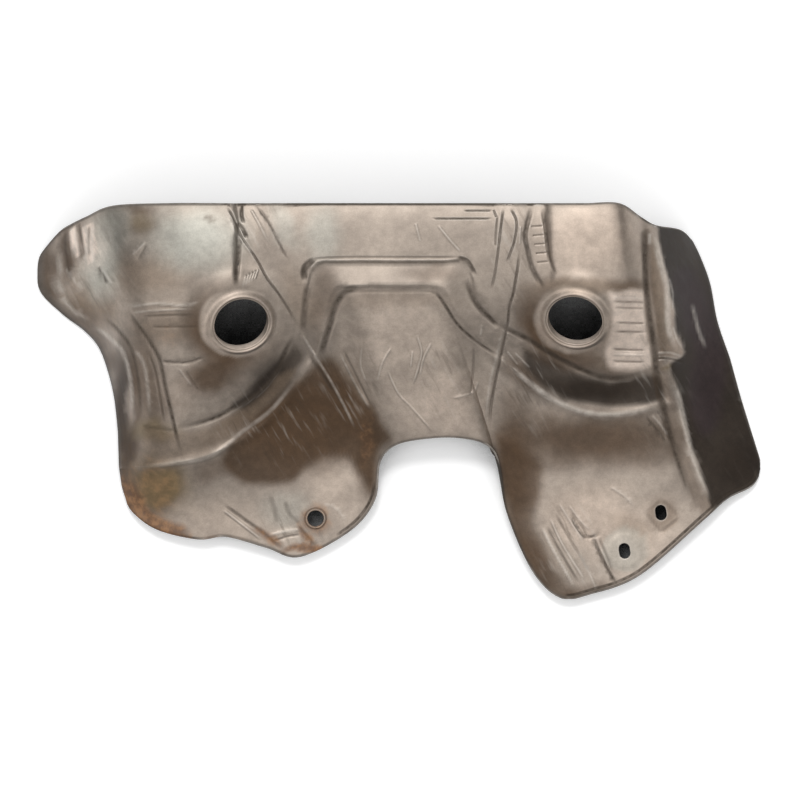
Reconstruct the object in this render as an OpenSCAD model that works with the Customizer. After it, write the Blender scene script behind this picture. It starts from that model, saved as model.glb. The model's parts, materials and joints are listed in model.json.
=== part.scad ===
// Exhaust manifold heat shield: one pressed sheet of aluminised steel with a hemmed edge,
// two drawn sensor ports, stepped ledges and two bolted feet with a notch between them.
// It lies on its rim and feet, domed side up. Origin at the middle of its box, on the floor.

/* [Sheet] */
// Length of the pressing, left lobe to right flank
shield_len = 400; // [370:1:430]
// Width of the pressing, top edge to the toe of the right foot
shield_wid = 219; // [205:1:235]
// Height of the plateau above the floor
shield_high = 77; // [68:1:86]
// Thickness of the sheet
sheet_t = 1; // [0.8:0.1:1.3]
// Width of the edge that is folded back under the rim
hem_wid = 5; // [3.5:0.5:6]

/* [Ports] */
// Bore of both sensor ports
port_bore = 30; // [26:0.5:32]
// Distance between the middles of the ports along X
port_gap = 184; // [178:1:190]
// Distance of the left port from the top edge
port_l_drop = 66; // [62:1:70]
// Distance of the right port from the top edge
port_r_drop = 64; // [60:1:68]
// Height of the rolled lip above the sheet round a port
port_lip_high = 2.4; // [1.6:0.1:3.2]
// Width of the rolled lip, from the bore to the sheet
port_lip_wid = 4; // [3.4:0.1:4.6]
// Depth of the turned-in collar below the sheet
port_collar_deep = 3; // [2:0.1:4]
// How far the sheet swells up round a port
port_swell = 1; // [0.4:0.1:1.6]

/* [Ledges] */
// Drop at the upper ledge across the middle
ledge_upper_drop = 2.2; // [1:0.1:3]
// Drop at the lower ledge across the middle
ledge_lower_drop = 2.6; // [1:0.1:3.5]
// Height of the bead along the lower ledge of both feet
ledge_bead_high = 1.2; // [0.6:0.1:1.8]
// Drop from each boss to the middle of the plateau
boss_drop = 1.8; // [1:0.1:2.6]
// Depth of the folded creases
crease_deep = 0.8; // [0.4:0.1:1.2]

/* [Feet] */
// Width of the notch between the feet
notch_wid = 66; // [60:1:72]
// Bore of the bolt hole in the left foot
bolt_bore = 9; // [7:0.5:10]
// Height of the extruded lip round the bolt hole
bolt_lip_high = 1.4; // [0.8:0.1:2]
// Width of the two slots in the right foot
slot_wid = 6; // [5:0.5:7]
// Length of the two slots
slot_len = 8.6; // [7.5:0.1:10]
// Diameter of the round pad at the outer slot
pad_dia = 21; // [18:0.5:23]
// Height of the round pad above the sheet
pad_high = 0.5; // [0.3:0.1:0.8]

/* [Hidden] */
$fn = 40;

// The sections below are drawn for a pressing of this length, width and height
drawn = [400, 219, 77];
stretch = [shield_len / drawn[0], shield_wid / drawn[1], shield_high / drawn[2]];

// Both sides of the notch in the drawn pressing
notch_mid = 22.4;
notch_l = notch_mid - notch_wid / 2 / stretch[0];
notch_r = notch_mid + notch_wid / 2 / stretch[0];

// Sections of the pressing from left to right. Each has four places in plan, at the top
// edge, the upper ledge, the lower ledge and the bottom edge, then four heights down to
// the upper ledge and four down from the lower ledge.
sections = [
    [[-195, 88], [-155.5, -17.5], [-155, -36.5], [-152.5, -54], [2, 0, 0, 4], [4, 3, 2, 1]],
    [[-185, 95], [-148, -17.5], [-147.5, -36.5], [-146, -63.5], [24, 22, 20, 22], [18, 14, 10, 7]],
    [[-173, 101], [-139.5, -17.5], [-137, -36.5], [-133, -72], [48, 50, 48, 40], [30, 21, 14, 11]],
    [[-158, 107], [-125, -16], [-117, -33.5], [-111, -77], [68, 72, 66, 46], [36, 24, 16, 13]],
    [[-126, 108.5], [-107, -11.5], [-97.5, -27], [-95.5, -75.5], [78, 86, 66, 42], [34, 23, 16, 14]],
    [[-94, 108.5], [-86, -1], [-78, -15.5], [-73.5, -81.5], [80, 88, 66, 40], [32, 23, 15, 13]],
    [[-90, 108.5], [-68, 16], [-61.5, 1.5], [-55, -86.5], [79, 86, 68, 44], [36, 24, 15, 12]],
    [[-84, 108.5], [-56, 38], [-47, 24], [-27, -72], [78, 84, 72, 58], [48, 30, 17, 13]],
    [[-63, 108.5], [-53, 56], [-42, 38], [notch_l - 3, -55], [77, 80, 77, 68], [61, 38, 22, 16]],
    [[-45, 108.5], [-47.5, 75], [-35, 58.5], [notch_l, -34], [77, 79, 78, 76], [71, 50, 33, 23]],
    [[-26, 108.5], [-30, 77], [-22, 61], [notch_l + 9, -25], [77, 79, 78, 76.5], [73, 60, 45, 31]],
    [[-1, 108.5], [-2.5, 77], [-2, 61], [17, -21.5], [77, 79, 78, 76.5], [73, 60, 46, 34]],
    [[22, 108.5], [22, 77], [15.5, 61], [34, -21.5], [77, 79, 78, 76.5], [73, 60, 46, 34]],
    [[38, 108.5], [37, 76.5], [23, 58], [notch_r - 7, -25.5], [77, 79, 78, 76], [72, 55, 38, 30]],
    [[50, 108.5], [44, 59], [31, 44.5], [notch_r - 1, -37], [77, 80, 77, 69], [64, 45, 29, 22]],
    [[61, 108.5], [57, 40], [48.5, 27.5], [notch_r + 3, -62], [77, 82, 74, 59], [51, 34, 21, 15]],
    [[72, 108.5], [74.5, 29.5], [66, 14], [notch_r + 17, -94], [78, 84, 70, 50], [42, 27, 17, 12]],
    [[83, 108.5], [89.5, 21], [82.5, 3], [88, -109], [79, 86, 68, 45], [37, 25, 15, 11]],
    [[102, 108.5], [105, 13.5], [102, -4.5], [105, -107], [80, 86, 66, 44], [34, 24, 14, 11]],
    [[121, 108.5], [124, 11.5], [124.5, -6], [132, -96.5], [79, 84, 66, 42], [33, 23, 14, 12]],
    [[133, 101], [140.5, 14], [144, -2], [167, -66.5], [62, 70, 62, 40], [33, 25, 18, 14]],
    [[141, 96.5], [150, 15.5], [153, -1.5], [180.5, -54.5], [50, 60, 54, 37], [30, 23, 16, 11]],
    [[154.5, 94], [163, 19], [167.5, 0], [194, -47.5], [20, 30, 27, 18], [15, 11, 8, 5]],
    [[161, 88], [182, 23], [188, 1], [200, -37.5], [2, 1, 1, 0], [0, 0, 0, 0]]
];
last = len(sections) - 1;

// The two free sides, from the top edge to the upper ledge
lobe_side = [[-195, 88], [-199.5, 75.5], [-198.5, 60], [-186, 47], [-174, 38], [-166, 29],
    [-161, 16], [-157.5, 1], [-155.5, -17.5]];
flank_side = [[161, 88], [165.5, 79], [171, 64], [175, 43.5], [182, 23]];

// Sections that the folded creases follow, with the rows where each starts and ends
creases = [[3, 0.2, 2.3], [7, 0, 2.6], [15, 0, 3], [20, 0, 3]];
// Sections at the inner edges of the two bosses, and how far the drop fades beyond them
boss_l = [5, 7.5];
boss_r = [17, 15.2];
// Half width of a crease or boss edge, as a share of the way between two sections
fold = 0.14;

function mix(a, b, t) = a + (b - a) * t;
function ramp(a, b, x) = let(t = min(1, max(0, (x - a) / (b - a)))) t * t * (3 - 2 * t);
function unit(v) = v / norm(v);

// A smooth curve through the entries of v, at t counted in entries
function curve(v, t) =
    let(n = len(v) - 1, i = min(n - 1, max(0, floor(t))), f = t - i,
        b = v[i], c = v[i + 1],
        a = i > 0 ? v[i - 1] : 2 * b - c,
        d = i < n - 1 ? v[i + 2] : 2 * c - b)
    0.5 * (2 * b + (c - a) * f + (2 * a - 5 * b + 4 * c - d) * f * f + (3 * b - a - 3 * c + d) * f * f * f);

// A cubic through four control heights
function bend(h, t) =
    let(u = 1 - t) h[0] * u * u * u + 3 * h[1] * t * u * u + 3 * h[2] * t * t * u + h[3] * t * t * t;

rails = [for (k = [0:3]) [for (q = sections) q[k]]];
upper_heights = [for (q = sections) q[4]];
lower_heights = [for (q = sections) q[5]];

// Place in plan at section s (0 to last) and row r (0 top edge, 1 and 2 ledges, 3 bottom edge)
function plan(s, r) =
    let(k = min(2, floor(r)), straight = mix(curve(rails[k], s), curve(rails[k + 1], s), r - k),
        left = max(0, 1 - s / 3), right = max(0, 1 - (last - s) / 3),
        p = r >= 1 ? straight
            : straight
              + left * left * (curve(lobe_side, r * 8) - mix(lobe_side[0], lobe_side[8], r))
              + right * right * (curve(flank_side, r * 4) - mix(flank_side[0], flank_side[4], r)))
    [p[0] * stretch[0], p[1] * stretch[1]];

// Height of the pressing before creases and flats
function form(s, r) =
    let(up = curve(upper_heights, s) * stretch[2], low = curve(lower_heights, s) * stretch[2], q = r - 1,
        middle = ramp(7, 9, s) * (1 - ramp(13, 15.5, s)),
        fall = up[3] - low[0] - ledge_upper_drop - ledge_lower_drop,
        plain = mix(up[3], low[0], q),
        stepped = up[3] - ledge_upper_drop * ramp(0, 0.15, q) - ledge_lower_drop * ramp(0.85, 1, q) - fall * q)
    r <= 1 ? bend(up, r) : r >= 2 ? bend(low, r - 2) : mix(plain, stepped, middle);

// Bead on the lower ledge, drop beside the bosses, and the creases
function bead(s, r) =
    ledge_bead_high * (1 - ramp(7.5, 9, s) * (1 - ramp(14, 15.5, s))) * ramp(1.8, 2, r) * (1 - ramp(2, 2.08, r));
function boss_edge(s, r) =
    boss_drop * (1 - ramp(0.5, 0.8, r))
    * (ramp(boss_l[0], boss_l[0] + 2 * fold, s) * (1 - ramp(boss_l[0] + 0.5, boss_l[1], s))
       + (1 - ramp(boss_r[0] - 2 * fold, boss_r[0], s)) * ramp(boss_r[1], boss_r[0] - 0.5, s));
function crease(s, r) =
    max([for (c = creases)
        crease_deep * max(0, 1 - abs(s - c[0]) / fold) * ramp(c[1] - 0.1, c[1], r) * (1 - ramp(c[2] - 0.2, c[2], r))]);
function raw(s, r) = form(s, r) + bead(s, r) - boss_edge(s, r) - crease(s, r);

// Section and row of a place in plan, by stepping along the sheet towards it
function locate(p, s, r, steps) =
    steps == 0 ? [s, r]
    : let(e = 0.01, q = plan(s, r), a = (plan(s + e, r) - q) / e, b = (plan(s, r + e) - q) / e, d = p - q,
          det = a[0] * b[1] - a[1] * b[0])
      locate(p, s + (d[0] * b[1] - d[1] * b[0]) / det, r + (a[0] * d[1] - a[1] * d[0]) / det, steps - 1);

// A flat on the sheet: its place, height, slopes, flat radius, blend radius and swell
function flat(p, s, r, flat_r, blend_r, swell) =
    let(at = locate(p, s, r, 6), e = 0.1, q = plan(at[0], at[1]),
        a = plan(at[0] + e, at[1]) - plan(at[0] - e, at[1]), b = plan(at[0], at[1] + e) - plan(at[0], at[1] - e),
        h = form(at[0] + e, at[1]) - form(at[0] - e, at[1]), k = form(at[0], at[1] + e) - form(at[0], at[1] - e),
        det = a[0] * b[1] - a[1] * b[0])
    [p, form(at[0], at[1]), [(h * b[1] - k * a[1]) / det, (a[0] * k - b[0] * h) / det], flat_r, blend_r, swell];

// Where the ports, the bolt hole and the slots sit in plan
top_y = rails[0][10][1] * stretch[1];
port_mid = 4.4;
port_r = port_bore / 2;
port_foot = port_r + port_lip_wid;
port_l_at = [port_mid - port_gap / 2, top_y - port_l_drop];
port_r_at = [port_mid + port_gap / 2, top_y - port_r_drop];
toe_l = plan(6, 3);
toe_r = plan(17, 3);
bolt_at = toe_l + [8.5, 21.5];
slot_out_at = toe_r + [35.5, 26];
slot_in_at = toe_r + [55.5, 47];
slot_lean = 8;

flats = [
    flat(port_l_at, 5, 0.6, port_foot + 5.5, port_foot + 11, port_swell),
    flat(port_r_at, 17.5, 0.6, port_foot + 5.5, port_foot + 9, port_swell),
    flat(bolt_at, 7, 2.7, bolt_bore / 2 + 4, bolt_bore / 2 + 10, 0),
    flat(slot_out_at, 19, 2.8, pad_dia / 2 + 1, pad_dia / 2 + 6, 0),
    flat(slot_in_at, 20, 2.6, slot_len / 2 + 5, slot_len / 2 + 11, 0)
];

function level(p, z, i = 0) =
    i == len(flats) ? z
    : let(f = flats[i], d = p - f[0], rise = d * f[2],
          w = 1 - ramp(f[3], f[4], norm([d[0], d[1], rise])))
      level(p, mix(z, f[1] + rise + f[5], w), i + 1);

function point(s, r) = let(p = plan(s, r)) [p[0], p[1], level(p, raw(s, r))];

// Grid columns about a pitch apart, with close ones at the folds. Those next to the sides
// keep the hem's width from them.
pitch = 8;
folded = concat([for (c = creases) c[0]], [boss_l[0], boss_r[0]]);
function is_folded(k) = len([for (c = folded) if (c == k) k]) > 0;
function cols_from(k) =
    let(a = is_folded(k) ? fold : 0, b = is_folded(k + 1) ? 1 - fold : 1,
        wide = norm(plan(k + 1, 0.6) - plan(k, 0.6)) * (b - a),
        count = max(1, ceil(wide / pitch)))
    concat([k], a > 0 ? [k + a] : [], [for (q = [1:1:count - 1]) k + mix(a, b, q / count)], b < 1 ? [k + b] : []);
cols = concat([0, 0.5], [for (k = [1:last - 2], c = cols_from(k)) c], [last - 1, last - 0.5, last]);
// Grid rows as shares of the upper part, the band between the ledges and the lower part
upper_rows = [0, 0.07, 0.14, 0.22, 0.3, 0.38, 0.45, 0.52, 0.59, 0.66, 0.73, 0.8, 0.86, 0.92, 0.97];
band_rows = [0, 0.15, 0.5, 0.85];
lower_rows = [0, 0.08, 0.18, 0.28, 0.38, 0.48, 0.58, 0.68, 0.79, 0.9, 1];
rows = concat([0], upper_rows, band_rows, lower_rows, [3]);
n = len(cols) - 1;
m = len(rows) - 1;
band_at = len(upper_rows) + 1;
lower_at = band_at + len(band_rows);

function row_at(j, s) =
    j == 0 || j == m ? rows[j]
    : j < band_at ? mix(hem_wid / norm(plan(s, 1) - plan(s, 0)), 1, rows[j])
    : j < lower_at ? 1 + rows[j]
    : mix(2, 3 - hem_wid / norm(plan(s, 3) - plan(s, 2)), rows[j]);
function col_at(i, r) =
    i == 1 ? hem_wid / norm(plan(1, r) - plan(0, r))
    : i == n - 1 ? last - hem_wid / norm(plan(last, r) - plan(last - 1, r))
    : cols[i];

face = [for (i = [0:n]) [for (j = [0:m]) let(r = row_at(j, cols[i])) point(col_at(i, r), r)]];
up = [for (i = [0:n]) [for (j = [0:m])
    unit(cross(face[i][max(0, j - 1)] - face[i][min(m, j + 1)], face[max(0, i - 1)][j] - face[min(n, i + 1)][j]))]];

// The rim as one loop, clockwise from above, with the way out of the sheet at each place
rim = concat([for (i = [0:n - 1]) [i, 0]], [for (j = [0:m - 1]) [n, j]],
    [for (i = [n:-1:1]) [i, m]], [for (j = [m:-1:1]) [0, j]]);
rim_n = len(rim);
function rim_place(k) = let(c = rim[(k + rim_n) % rim_n]) face[c[0]][c[1]];
function rim_out(k) = unit(cross(up[rim[k][0]][rim[k][1]], rim_place(k + 1) - rim_place(k - 1)));
out = [for (k = [0:rim_n - 1]) rim_out(k)];
function rim_index(i, j) = j == 0 ? i : i == n ? n + j : j == m ? 2 * n + m - i : 2 * (n + m) - j;

// Points: the upper side, the rounded fold of the rim, the hem below and the lower side
round_turns = [0, -90];
top_points = [for (i = [0:n], j = [0:m])
    i > 0 && i < n && j > 0 && j < m ? face[i][j] : face[i][j] - sheet_t * out[rim_index(i, j)]];
fold_points = [for (a = round_turns, k = [0:rim_n - 1])
    let(u = up[rim[k][0]][rim[k][1]])
    rim_place(k) - sheet_t * (u + out[k]) + sheet_t * (cos(a) * out[k] + sin(a) * u)];
inner_points = [for (deep = [2, 1], i = [1:n - 1], j = [1:m - 1]) face[i][j] - deep * sheet_t * up[i][j]];
points = concat(top_points, fold_points, inner_points);

fold_at = len(top_points);
hem_at = fold_at + len(fold_points);
under_at = hem_at + (n - 1) * (m - 1);
function top_id(i, j) = i * (m + 1) + j;
function fold_id(turn, k) = turn < 0 ? top_id(rim[k % rim_n][0], rim[k % rim_n][1]) : fold_at + turn * rim_n + k % rim_n;
function inner_id(start, i, j) = start + (i - 1) * (m - 1) + j - 1;
function is_rim(i, j) = i == 0 || i == n || j == 0 || j == m;
function hem_id(i, j) = is_rim(i, j) ? fold_id(len(round_turns) - 1, rim_index(i, j)) : inner_id(hem_at, i, j);

function quad(a, b, c, d) = [[a, b, c], [a, c, d]];
function pick(v) = [for (q = v, t = q) t];
hem_line = concat([for (i = [1:n - 2]) [i, 1]], [for (j = [1:m - 2]) [n - 1, j]],
    [for (i = [n - 1:-1:2]) [i, m - 1]], [for (j = [m - 1:-1:2]) [1, j]]);
function hem_step(start, k) = let(c = hem_line[k % len(hem_line)]) inner_id(start, c[0], c[1]);
faces = pick(concat(
    [for (i = [0:n - 1], j = [0:m - 1]) quad(top_id(i, j), top_id(i + 1, j), top_id(i + 1, j + 1), top_id(i, j + 1))],
    [for (a = [0:len(round_turns) - 1], k = [0:rim_n - 1])
        quad(fold_id(a - 1, k + 1), fold_id(a - 1, k), fold_id(a, k), fold_id(a, k + 1))],
    [for (i = [0:n - 1], j = [0:m - 1]) if (i == 0 || i == n - 1 || j == 0 || j == m - 1)
        quad(hem_id(i, j), hem_id(i, j + 1), hem_id(i + 1, j + 1), hem_id(i + 1, j))],
    [for (k = [0:len(hem_line) - 1])
        quad(hem_step(under_at, k), hem_step(under_at, k + 1), hem_step(hem_at, k + 1), hem_step(hem_at, k))],
    [for (i = [1:n - 2], j = [1:m - 2])
        quad(inner_id(under_at, i, j), inner_id(under_at, i, j + 1),
             inner_id(under_at, i + 1, j + 1), inner_id(under_at, i + 1, j))]));

function span(k) = let(v = [for (p = points) p[k]]) [min(v), max(v)];
origin = [(span(0)[0] + span(0)[1]) / 2, (span(1)[0] + span(1)[1]) / 2, span(2)[0]];

// Puts its children on a flat, with Z out of the sheet
module on_flat(f) {
    out_of = unit([-f[2][0], -f[2][1], 1]);
    translate([f[0][0], f[0][1], f[1] + f[5]]) rotate([-asin(out_of[1]), atan2(out_of[0], out_of[2]), 0]) children();
}

module pressed_sheet() {
    polyhedron(points, faces, convexity = 12);
}

// The rolled lip in section: over its crest from the sheet side to the bore, or back again
lip_mid = port_r + 0.45 * port_lip_wid;
lip_bore_top = 0.35 * port_lip_high;
foot_top = -0.2 * sheet_t;
foot_under = -0.8 * sheet_t;
function lip(turns, foot, bore_top, inset) =
    [for (a = turns)
        let(wide = a < 90 ? port_foot - lip_mid : lip_mid - port_r, base = a < 90 ? foot : bore_top)
        [lip_mid + (wide - inset) * cos(a), base + (port_lip_high - inset - base) * sin(a)]];

// The sheet drawn up round a port, rolled over and turned in as a collar
module port_collar() {
    rotate_extrude() polygon(concat(
        [[port_foot + 0.5, foot_under], [port_foot + 0.5, foot_top]],
        lip([0:30:180], foot_top, lip_bore_top, 0),
        [[port_r, -port_collar_deep], [port_r + sheet_t, -port_collar_deep]],
        lip([180:-30:0], foot_under, lip_bore_top - sheet_t, sheet_t)));
}

// Short lip pushed up round the bolt hole
module bolt_lip() {
    edge = 0.3;
    rotate_extrude() polygon([[bolt_bore / 2 - edge, foot_under], [bolt_bore / 2 + sheet_t, foot_under],
        [bolt_bore / 2 + sheet_t, bolt_lip_high - edge], [bolt_bore / 2 + sheet_t - edge, bolt_lip_high],
        [bolt_bore / 2 - edge, bolt_lip_high]]);
}

module slot() {
    linear_extrude(8 * sheet_t, center = true) rotate(slot_lean) {
        square([slot_wid, slot_len - slot_wid], center = true);
        for (end = [-1, 1]) translate([0, end * (slot_len - slot_wid) / 2]) circle(d = slot_wid);
    }
}

// Round pad pressed up out of the sheet
module pad() {
    translate([0, 0, foot_under]) cylinder(d = pad_dia, h = pad_high - foot_under);
}
module pad_hollow() {
    translate([0, 0, pad_high - 4 * sheet_t]) cylinder(d = pad_dia - 2 * sheet_t, h = 3 * sheet_t);
}

module heat_shield() {
    color([0.56, 0.52, 0.48]) translate(-origin) difference() {
        union() {
            difference() {
                pressed_sheet();
                for (k = [0, 1]) on_flat(flats[k]) cylinder(r = port_foot - 0.3, h = 20, center = true);
            }
            for (k = [0, 1]) on_flat(flats[k]) port_collar();
            on_flat(flats[2]) bolt_lip();
            on_flat(flats[3]) pad();
        }
        on_flat(flats[2]) cylinder(d = bolt_bore, h = 20, center = true);
        on_flat(flats[3]) {
            slot();
            pad_hollow();
        }
        on_flat(flats[4]) slot();
    }
}

heat_shield();
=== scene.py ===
import json
import math

import bmesh
import bpy
import numpy as np
from mathutils import Matrix, Vector
from mathutils.kdtree import KDTree


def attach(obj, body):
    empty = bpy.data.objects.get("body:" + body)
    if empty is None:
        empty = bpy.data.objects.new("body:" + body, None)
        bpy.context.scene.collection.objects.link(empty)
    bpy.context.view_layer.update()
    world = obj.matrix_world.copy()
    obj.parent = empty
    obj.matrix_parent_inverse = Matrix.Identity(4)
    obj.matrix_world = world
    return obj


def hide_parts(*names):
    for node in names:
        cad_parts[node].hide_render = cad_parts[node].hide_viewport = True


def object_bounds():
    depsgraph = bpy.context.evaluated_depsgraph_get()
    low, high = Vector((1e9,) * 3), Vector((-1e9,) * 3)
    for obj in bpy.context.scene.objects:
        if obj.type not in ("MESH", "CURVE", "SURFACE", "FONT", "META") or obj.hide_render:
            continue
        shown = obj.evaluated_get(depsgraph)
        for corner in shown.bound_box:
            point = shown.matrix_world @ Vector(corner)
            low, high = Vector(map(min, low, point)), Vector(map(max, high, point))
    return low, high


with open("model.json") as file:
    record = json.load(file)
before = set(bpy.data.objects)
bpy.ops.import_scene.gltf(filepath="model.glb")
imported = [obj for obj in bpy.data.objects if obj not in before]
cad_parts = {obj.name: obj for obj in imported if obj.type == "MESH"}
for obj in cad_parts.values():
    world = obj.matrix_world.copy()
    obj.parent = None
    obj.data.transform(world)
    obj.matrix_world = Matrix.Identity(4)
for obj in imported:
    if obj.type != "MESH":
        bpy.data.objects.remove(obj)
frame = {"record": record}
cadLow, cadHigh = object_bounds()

mm = 0.001
photo = {"middle": 399.5, "pixel": 0.55}   # middle of the photograph, and millimetres to one of its pixels

# The pressed sheet in millimetres: four places in plan and eight heights for each section, left to right
sheet = {
    "notchLeft": -10.6,
    "notchRight": 55.4,
    "lobeSide": [(-195, 88), (-199.5, 75.5), (-198.5, 60), (-186, 47), (-174, 38), (-166, 29),
                 (-161, 16), (-157.5, 1), (-155.5, -17.5)],
    "flankSide": [(161, 88), (165.5, 79), (171, 64), (175, 43.5), (182, 23)],
    "upperLedge": 2.2,
    "lowerLedge": 2.6,
    "bead": 1.2,
    "bossDrop": 1.8,
    "bossLeft": (5, 7.5),
    "bossRight": (17, 15.2),
    "fold": 0.14,
    "thick": 1.0,
    "hem": 5.0,
    "grid": (206, 112),        # cells along and across the face, then the underside
    "underGrid": (124, 68),
    "finer": [(1.5, 99, 26), (0.7, 2.1, 0)],   # cells are halved so near strokes, of what width, and ports
    "smallReach": 13,          # and how near the small holes
    "corners": [(1, -1, 0.7, 0.45), (-1, -1, 0.55, 0.16), (1, 1, 1.0, 0.1)],   # ways in, sections and rows
    "rowShares": [(0, 0), (0.5, 1), (0.61, 2), (1, 3)],   # share of the rows, and the ledge it reaches
    "origin": (0.037, -0.312, -1.229),   # the drawn place that lies at the frame's origin
    "rimTurns": [60, 30, 0, -30, -60],   # round the fold of the rim, from the top to the hem
}
left, right = sheet["notchLeft"], sheet["notchRight"]
sheet["sections"] = [
    [(-195, 88), (-155.5, -17.5), (-155, -36.5), (-152.5, -54), (2, 0, 0, 4), (4, 3, 2, 1)],
    [(-185, 95), (-148, -17.5), (-147.5, -36.5), (-146, -63.5), (24, 22, 20, 22), (18, 14, 10, 7)],
    [(-173, 101), (-139.5, -17.5), (-137, -36.5), (-133, -72), (48, 50, 48, 40), (30, 21, 14, 11)],
    [(-158, 107), (-125, -16), (-117, -33.5), (-111, -77), (68, 72, 66, 46), (36, 24, 16, 13)],
    [(-126, 108.5), (-107, -11.5), (-97.5, -27), (-95.5, -75.5), (78, 86, 66, 42), (34, 23, 16, 14)],
    [(-96, 108.5), (-86, -1), (-78, -15.5), (-73.5, -81.5), (80, 88, 66, 40), (32, 23, 15, 13)],
    [(-90, 108.5), (-68, 16), (-61.5, 1.5), (-55, -86.5), (79, 86, 68, 44), (36, 24, 15, 12)],
    [(-82.5, 108.5), (-56, 38), (-47, 24), (-27, -72), (78, 84, 72, 58), (48, 30, 17, 13)],
    [(-63, 108.5), (-53, 56), (-42, 38), (left - 3, -55), (77, 80, 77, 68), (61, 38, 22, 16)],
    [(-45, 108.5), (-47.5, 75), (-35, 58.5), (left, -34), (77, 79, 78, 76), (71, 50, 33, 23)],
    [(-26, 108.5), (-30, 77), (-22, 61), (left + 9, -25), (77, 79, 78, 76.5), (73, 60, 45, 31)],
    [(-1, 108.5), (-2.5, 77), (-2, 61), (17, -21.5), (77, 79, 78, 76.5), (73, 60, 46, 34)],
    [(22, 108.5), (22, 77), (15.5, 61), (34, -21.5), (77, 79, 78, 76.5), (73, 60, 46, 34)],
    [(38, 108.5), (37, 76.5), (23, 58), (right - 7, -25.5), (77, 79, 78, 76), (72, 55, 38, 30)],
    [(50, 108.5), (44, 59), (31, 44.5), (right - 1, -37), (77, 80, 77, 69), (64, 45, 29, 22)],
    [(61, 108.5), (57, 40), (48.5, 27.5), (right + 3, -62), (77, 82, 74, 59), (51, 34, 21, 15)],
    [(72, 108.5), (74.5, 29.5), (66, 14), (right + 17, -94), (78, 84, 70, 50), (42, 27, 17, 12)],
    [(83, 108.5), (89.5, 21), (82.5, 3), (88, -109), (79, 86, 68, 45), (37, 25, 15, 11)],
    [(102, 108.5), (105, 13.5), (102, -4.5), (105, -107), (80, 86, 66, 44), (34, 24, 14, 11)],
    [(121, 108.5), (124, 11.5), (124.5, -6), (132, -96.5), (79, 84, 66, 42), (33, 23, 14, 12)],
    [(133, 101), (140.5, 14), (144, -2), (167, -66.5), (62, 70, 62, 40), (33, 25, 18, 14)],
    [(141, 96.5), (150, 15.5), (153, -1.5), (180.5, -54.5), (50, 60, 54, 37), (30, 23, 16, 11)],
    [(154.5, 94), (163, 19), (167.5, 0), (194, -47.5), (20, 30, 27, 18), (15, 11, 8, 5)],
    [(161, 88), (182, 23), (188, 1), (200, -37.5), (2, 1, 1, 0), (0, 0, 0, 0)],
]
lastSection = len(sheet["sections"]) - 1


def addObject(name, data, spot=(0, 0, 0)):
    made = bpy.data.objects.new(name, data)
    made.location = spot
    bpy.context.scene.collection.objects.link(made)
    return made


def ramp(a, b, x):
    t = np.clip((x - a) / (b - a), 0, 1)
    return t * t * (3 - 2 * t)


def mix(a, b, t):
    return a + (b - a) * t


def curveThrough(points, t):
    # a smooth curve through the points, at t counted in points
    p = np.asarray(points, float)
    p = np.concatenate([[2 * p[0] - p[1]], p, [2 * p[-1] - p[-2]]])
    i = np.clip(np.floor(t).astype(int), 0, len(p) - 4)
    f = np.asarray(t - i)
    if p.ndim > 1:
        f = f[..., None]
    a, b, c, d = p[i], p[i + 1], p[i + 2], p[i + 3]
    bent = (2 * a - 5 * b + 4 * c - d) * f ** 2 + (3 * b - a - 3 * c + d) * f ** 3
    return 0.5 * (2 * b + (c - a) * f + bent)


def bend(h, t):
    # a smooth curve led by four heights
    u = 1 - t
    return h[:, 0] * u ** 3 + 3 * h[:, 1] * t * u * u + 3 * h[:, 2] * t * t * u + h[:, 3] * t ** 3


def planPlace(s, r):
    # the place in plan of a section s and a row r, which is 1 and 2 on the ledges and 3 on the lower rim
    rails = [curveThrough([q[k] for q in sheet["sections"]], s) for k in range(4)]
    k = np.clip(np.floor(r).astype(int), 0, 2)
    lower, upper = np.choose(k[:, None], rails[:3]), np.choose(k[:, None], rails[1:])
    place = mix(lower, upper, (r - k)[:, None])
    row = np.minimum(r, 1)
    for side, away in ((sheet["lobeSide"], s), (sheet["flankSide"], lastSection - s)):
        # the two ends bow out from the straight, and the sections next to them a little
        side = np.array(side, float)
        bow = curveThrough(side, row * (len(side) - 1)) - mix(side[0], side[-1], row[:, None])
        place = place + np.where(r < 1, np.maximum(1 - away / 3, 0) ** 2, 0)[:, None] * bow
    return place


def rounded(s, r):
    # draws three corners of the sheet in to a curve
    for along, across, wide, high in sheet["corners"]:
        toEnd = s if along > 0 else lastSection - s
        toRim = r if across > 0 else 3 - r
        a, b = np.clip(1 - toEnd / wide, 0, 1), np.clip(1 - toRim / high, 0, 1)
        s = s + along * wide * a * (1 - np.sqrt(1 - b * b / 2))
        r = r + across * high * b * (1 - np.sqrt(1 - a * a / 2))
    return s, r


def hemShare(a, b):
    # the hem's width as a share of the way from a to b
    return sheet["hem"] / np.linalg.norm(b - a, axis=1)


def pushedIn(x, first, hem, full):
    # spreads the steps between the rim and a full step so that the first of them lies at the hem
    return hem + (x - first) * (full - hem) / (full - first)


def formHeight(s, r):
    # the free form: a curve down to the upper ledge, the band between the ledges, a curve down to the rim
    up = curveThrough([q[4] for q in sheet["sections"]], s)
    low = curveThrough([q[5] for q in sheet["sections"]], s)
    q = r - 1
    middle = ramp(7, 9, s) * (1 - ramp(13, 15.5, s))
    fall = up[:, 3] - low[:, 0] - sheet["upperLedge"] - sheet["lowerLedge"]
    plain = mix(up[:, 3], low[:, 0], q)
    ledges = sheet["upperLedge"] * ramp(0, 0.15, q) + sheet["lowerLedge"] * ramp(0.85, 1, q)
    band = mix(plain, up[:, 3] - ledges - fall * q, middle)
    below = np.where(r >= 2, bend(low, np.maximum(r, 2) - 2), band)
    return np.where(r <= 1, bend(up, np.minimum(r, 1)), below)


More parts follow.
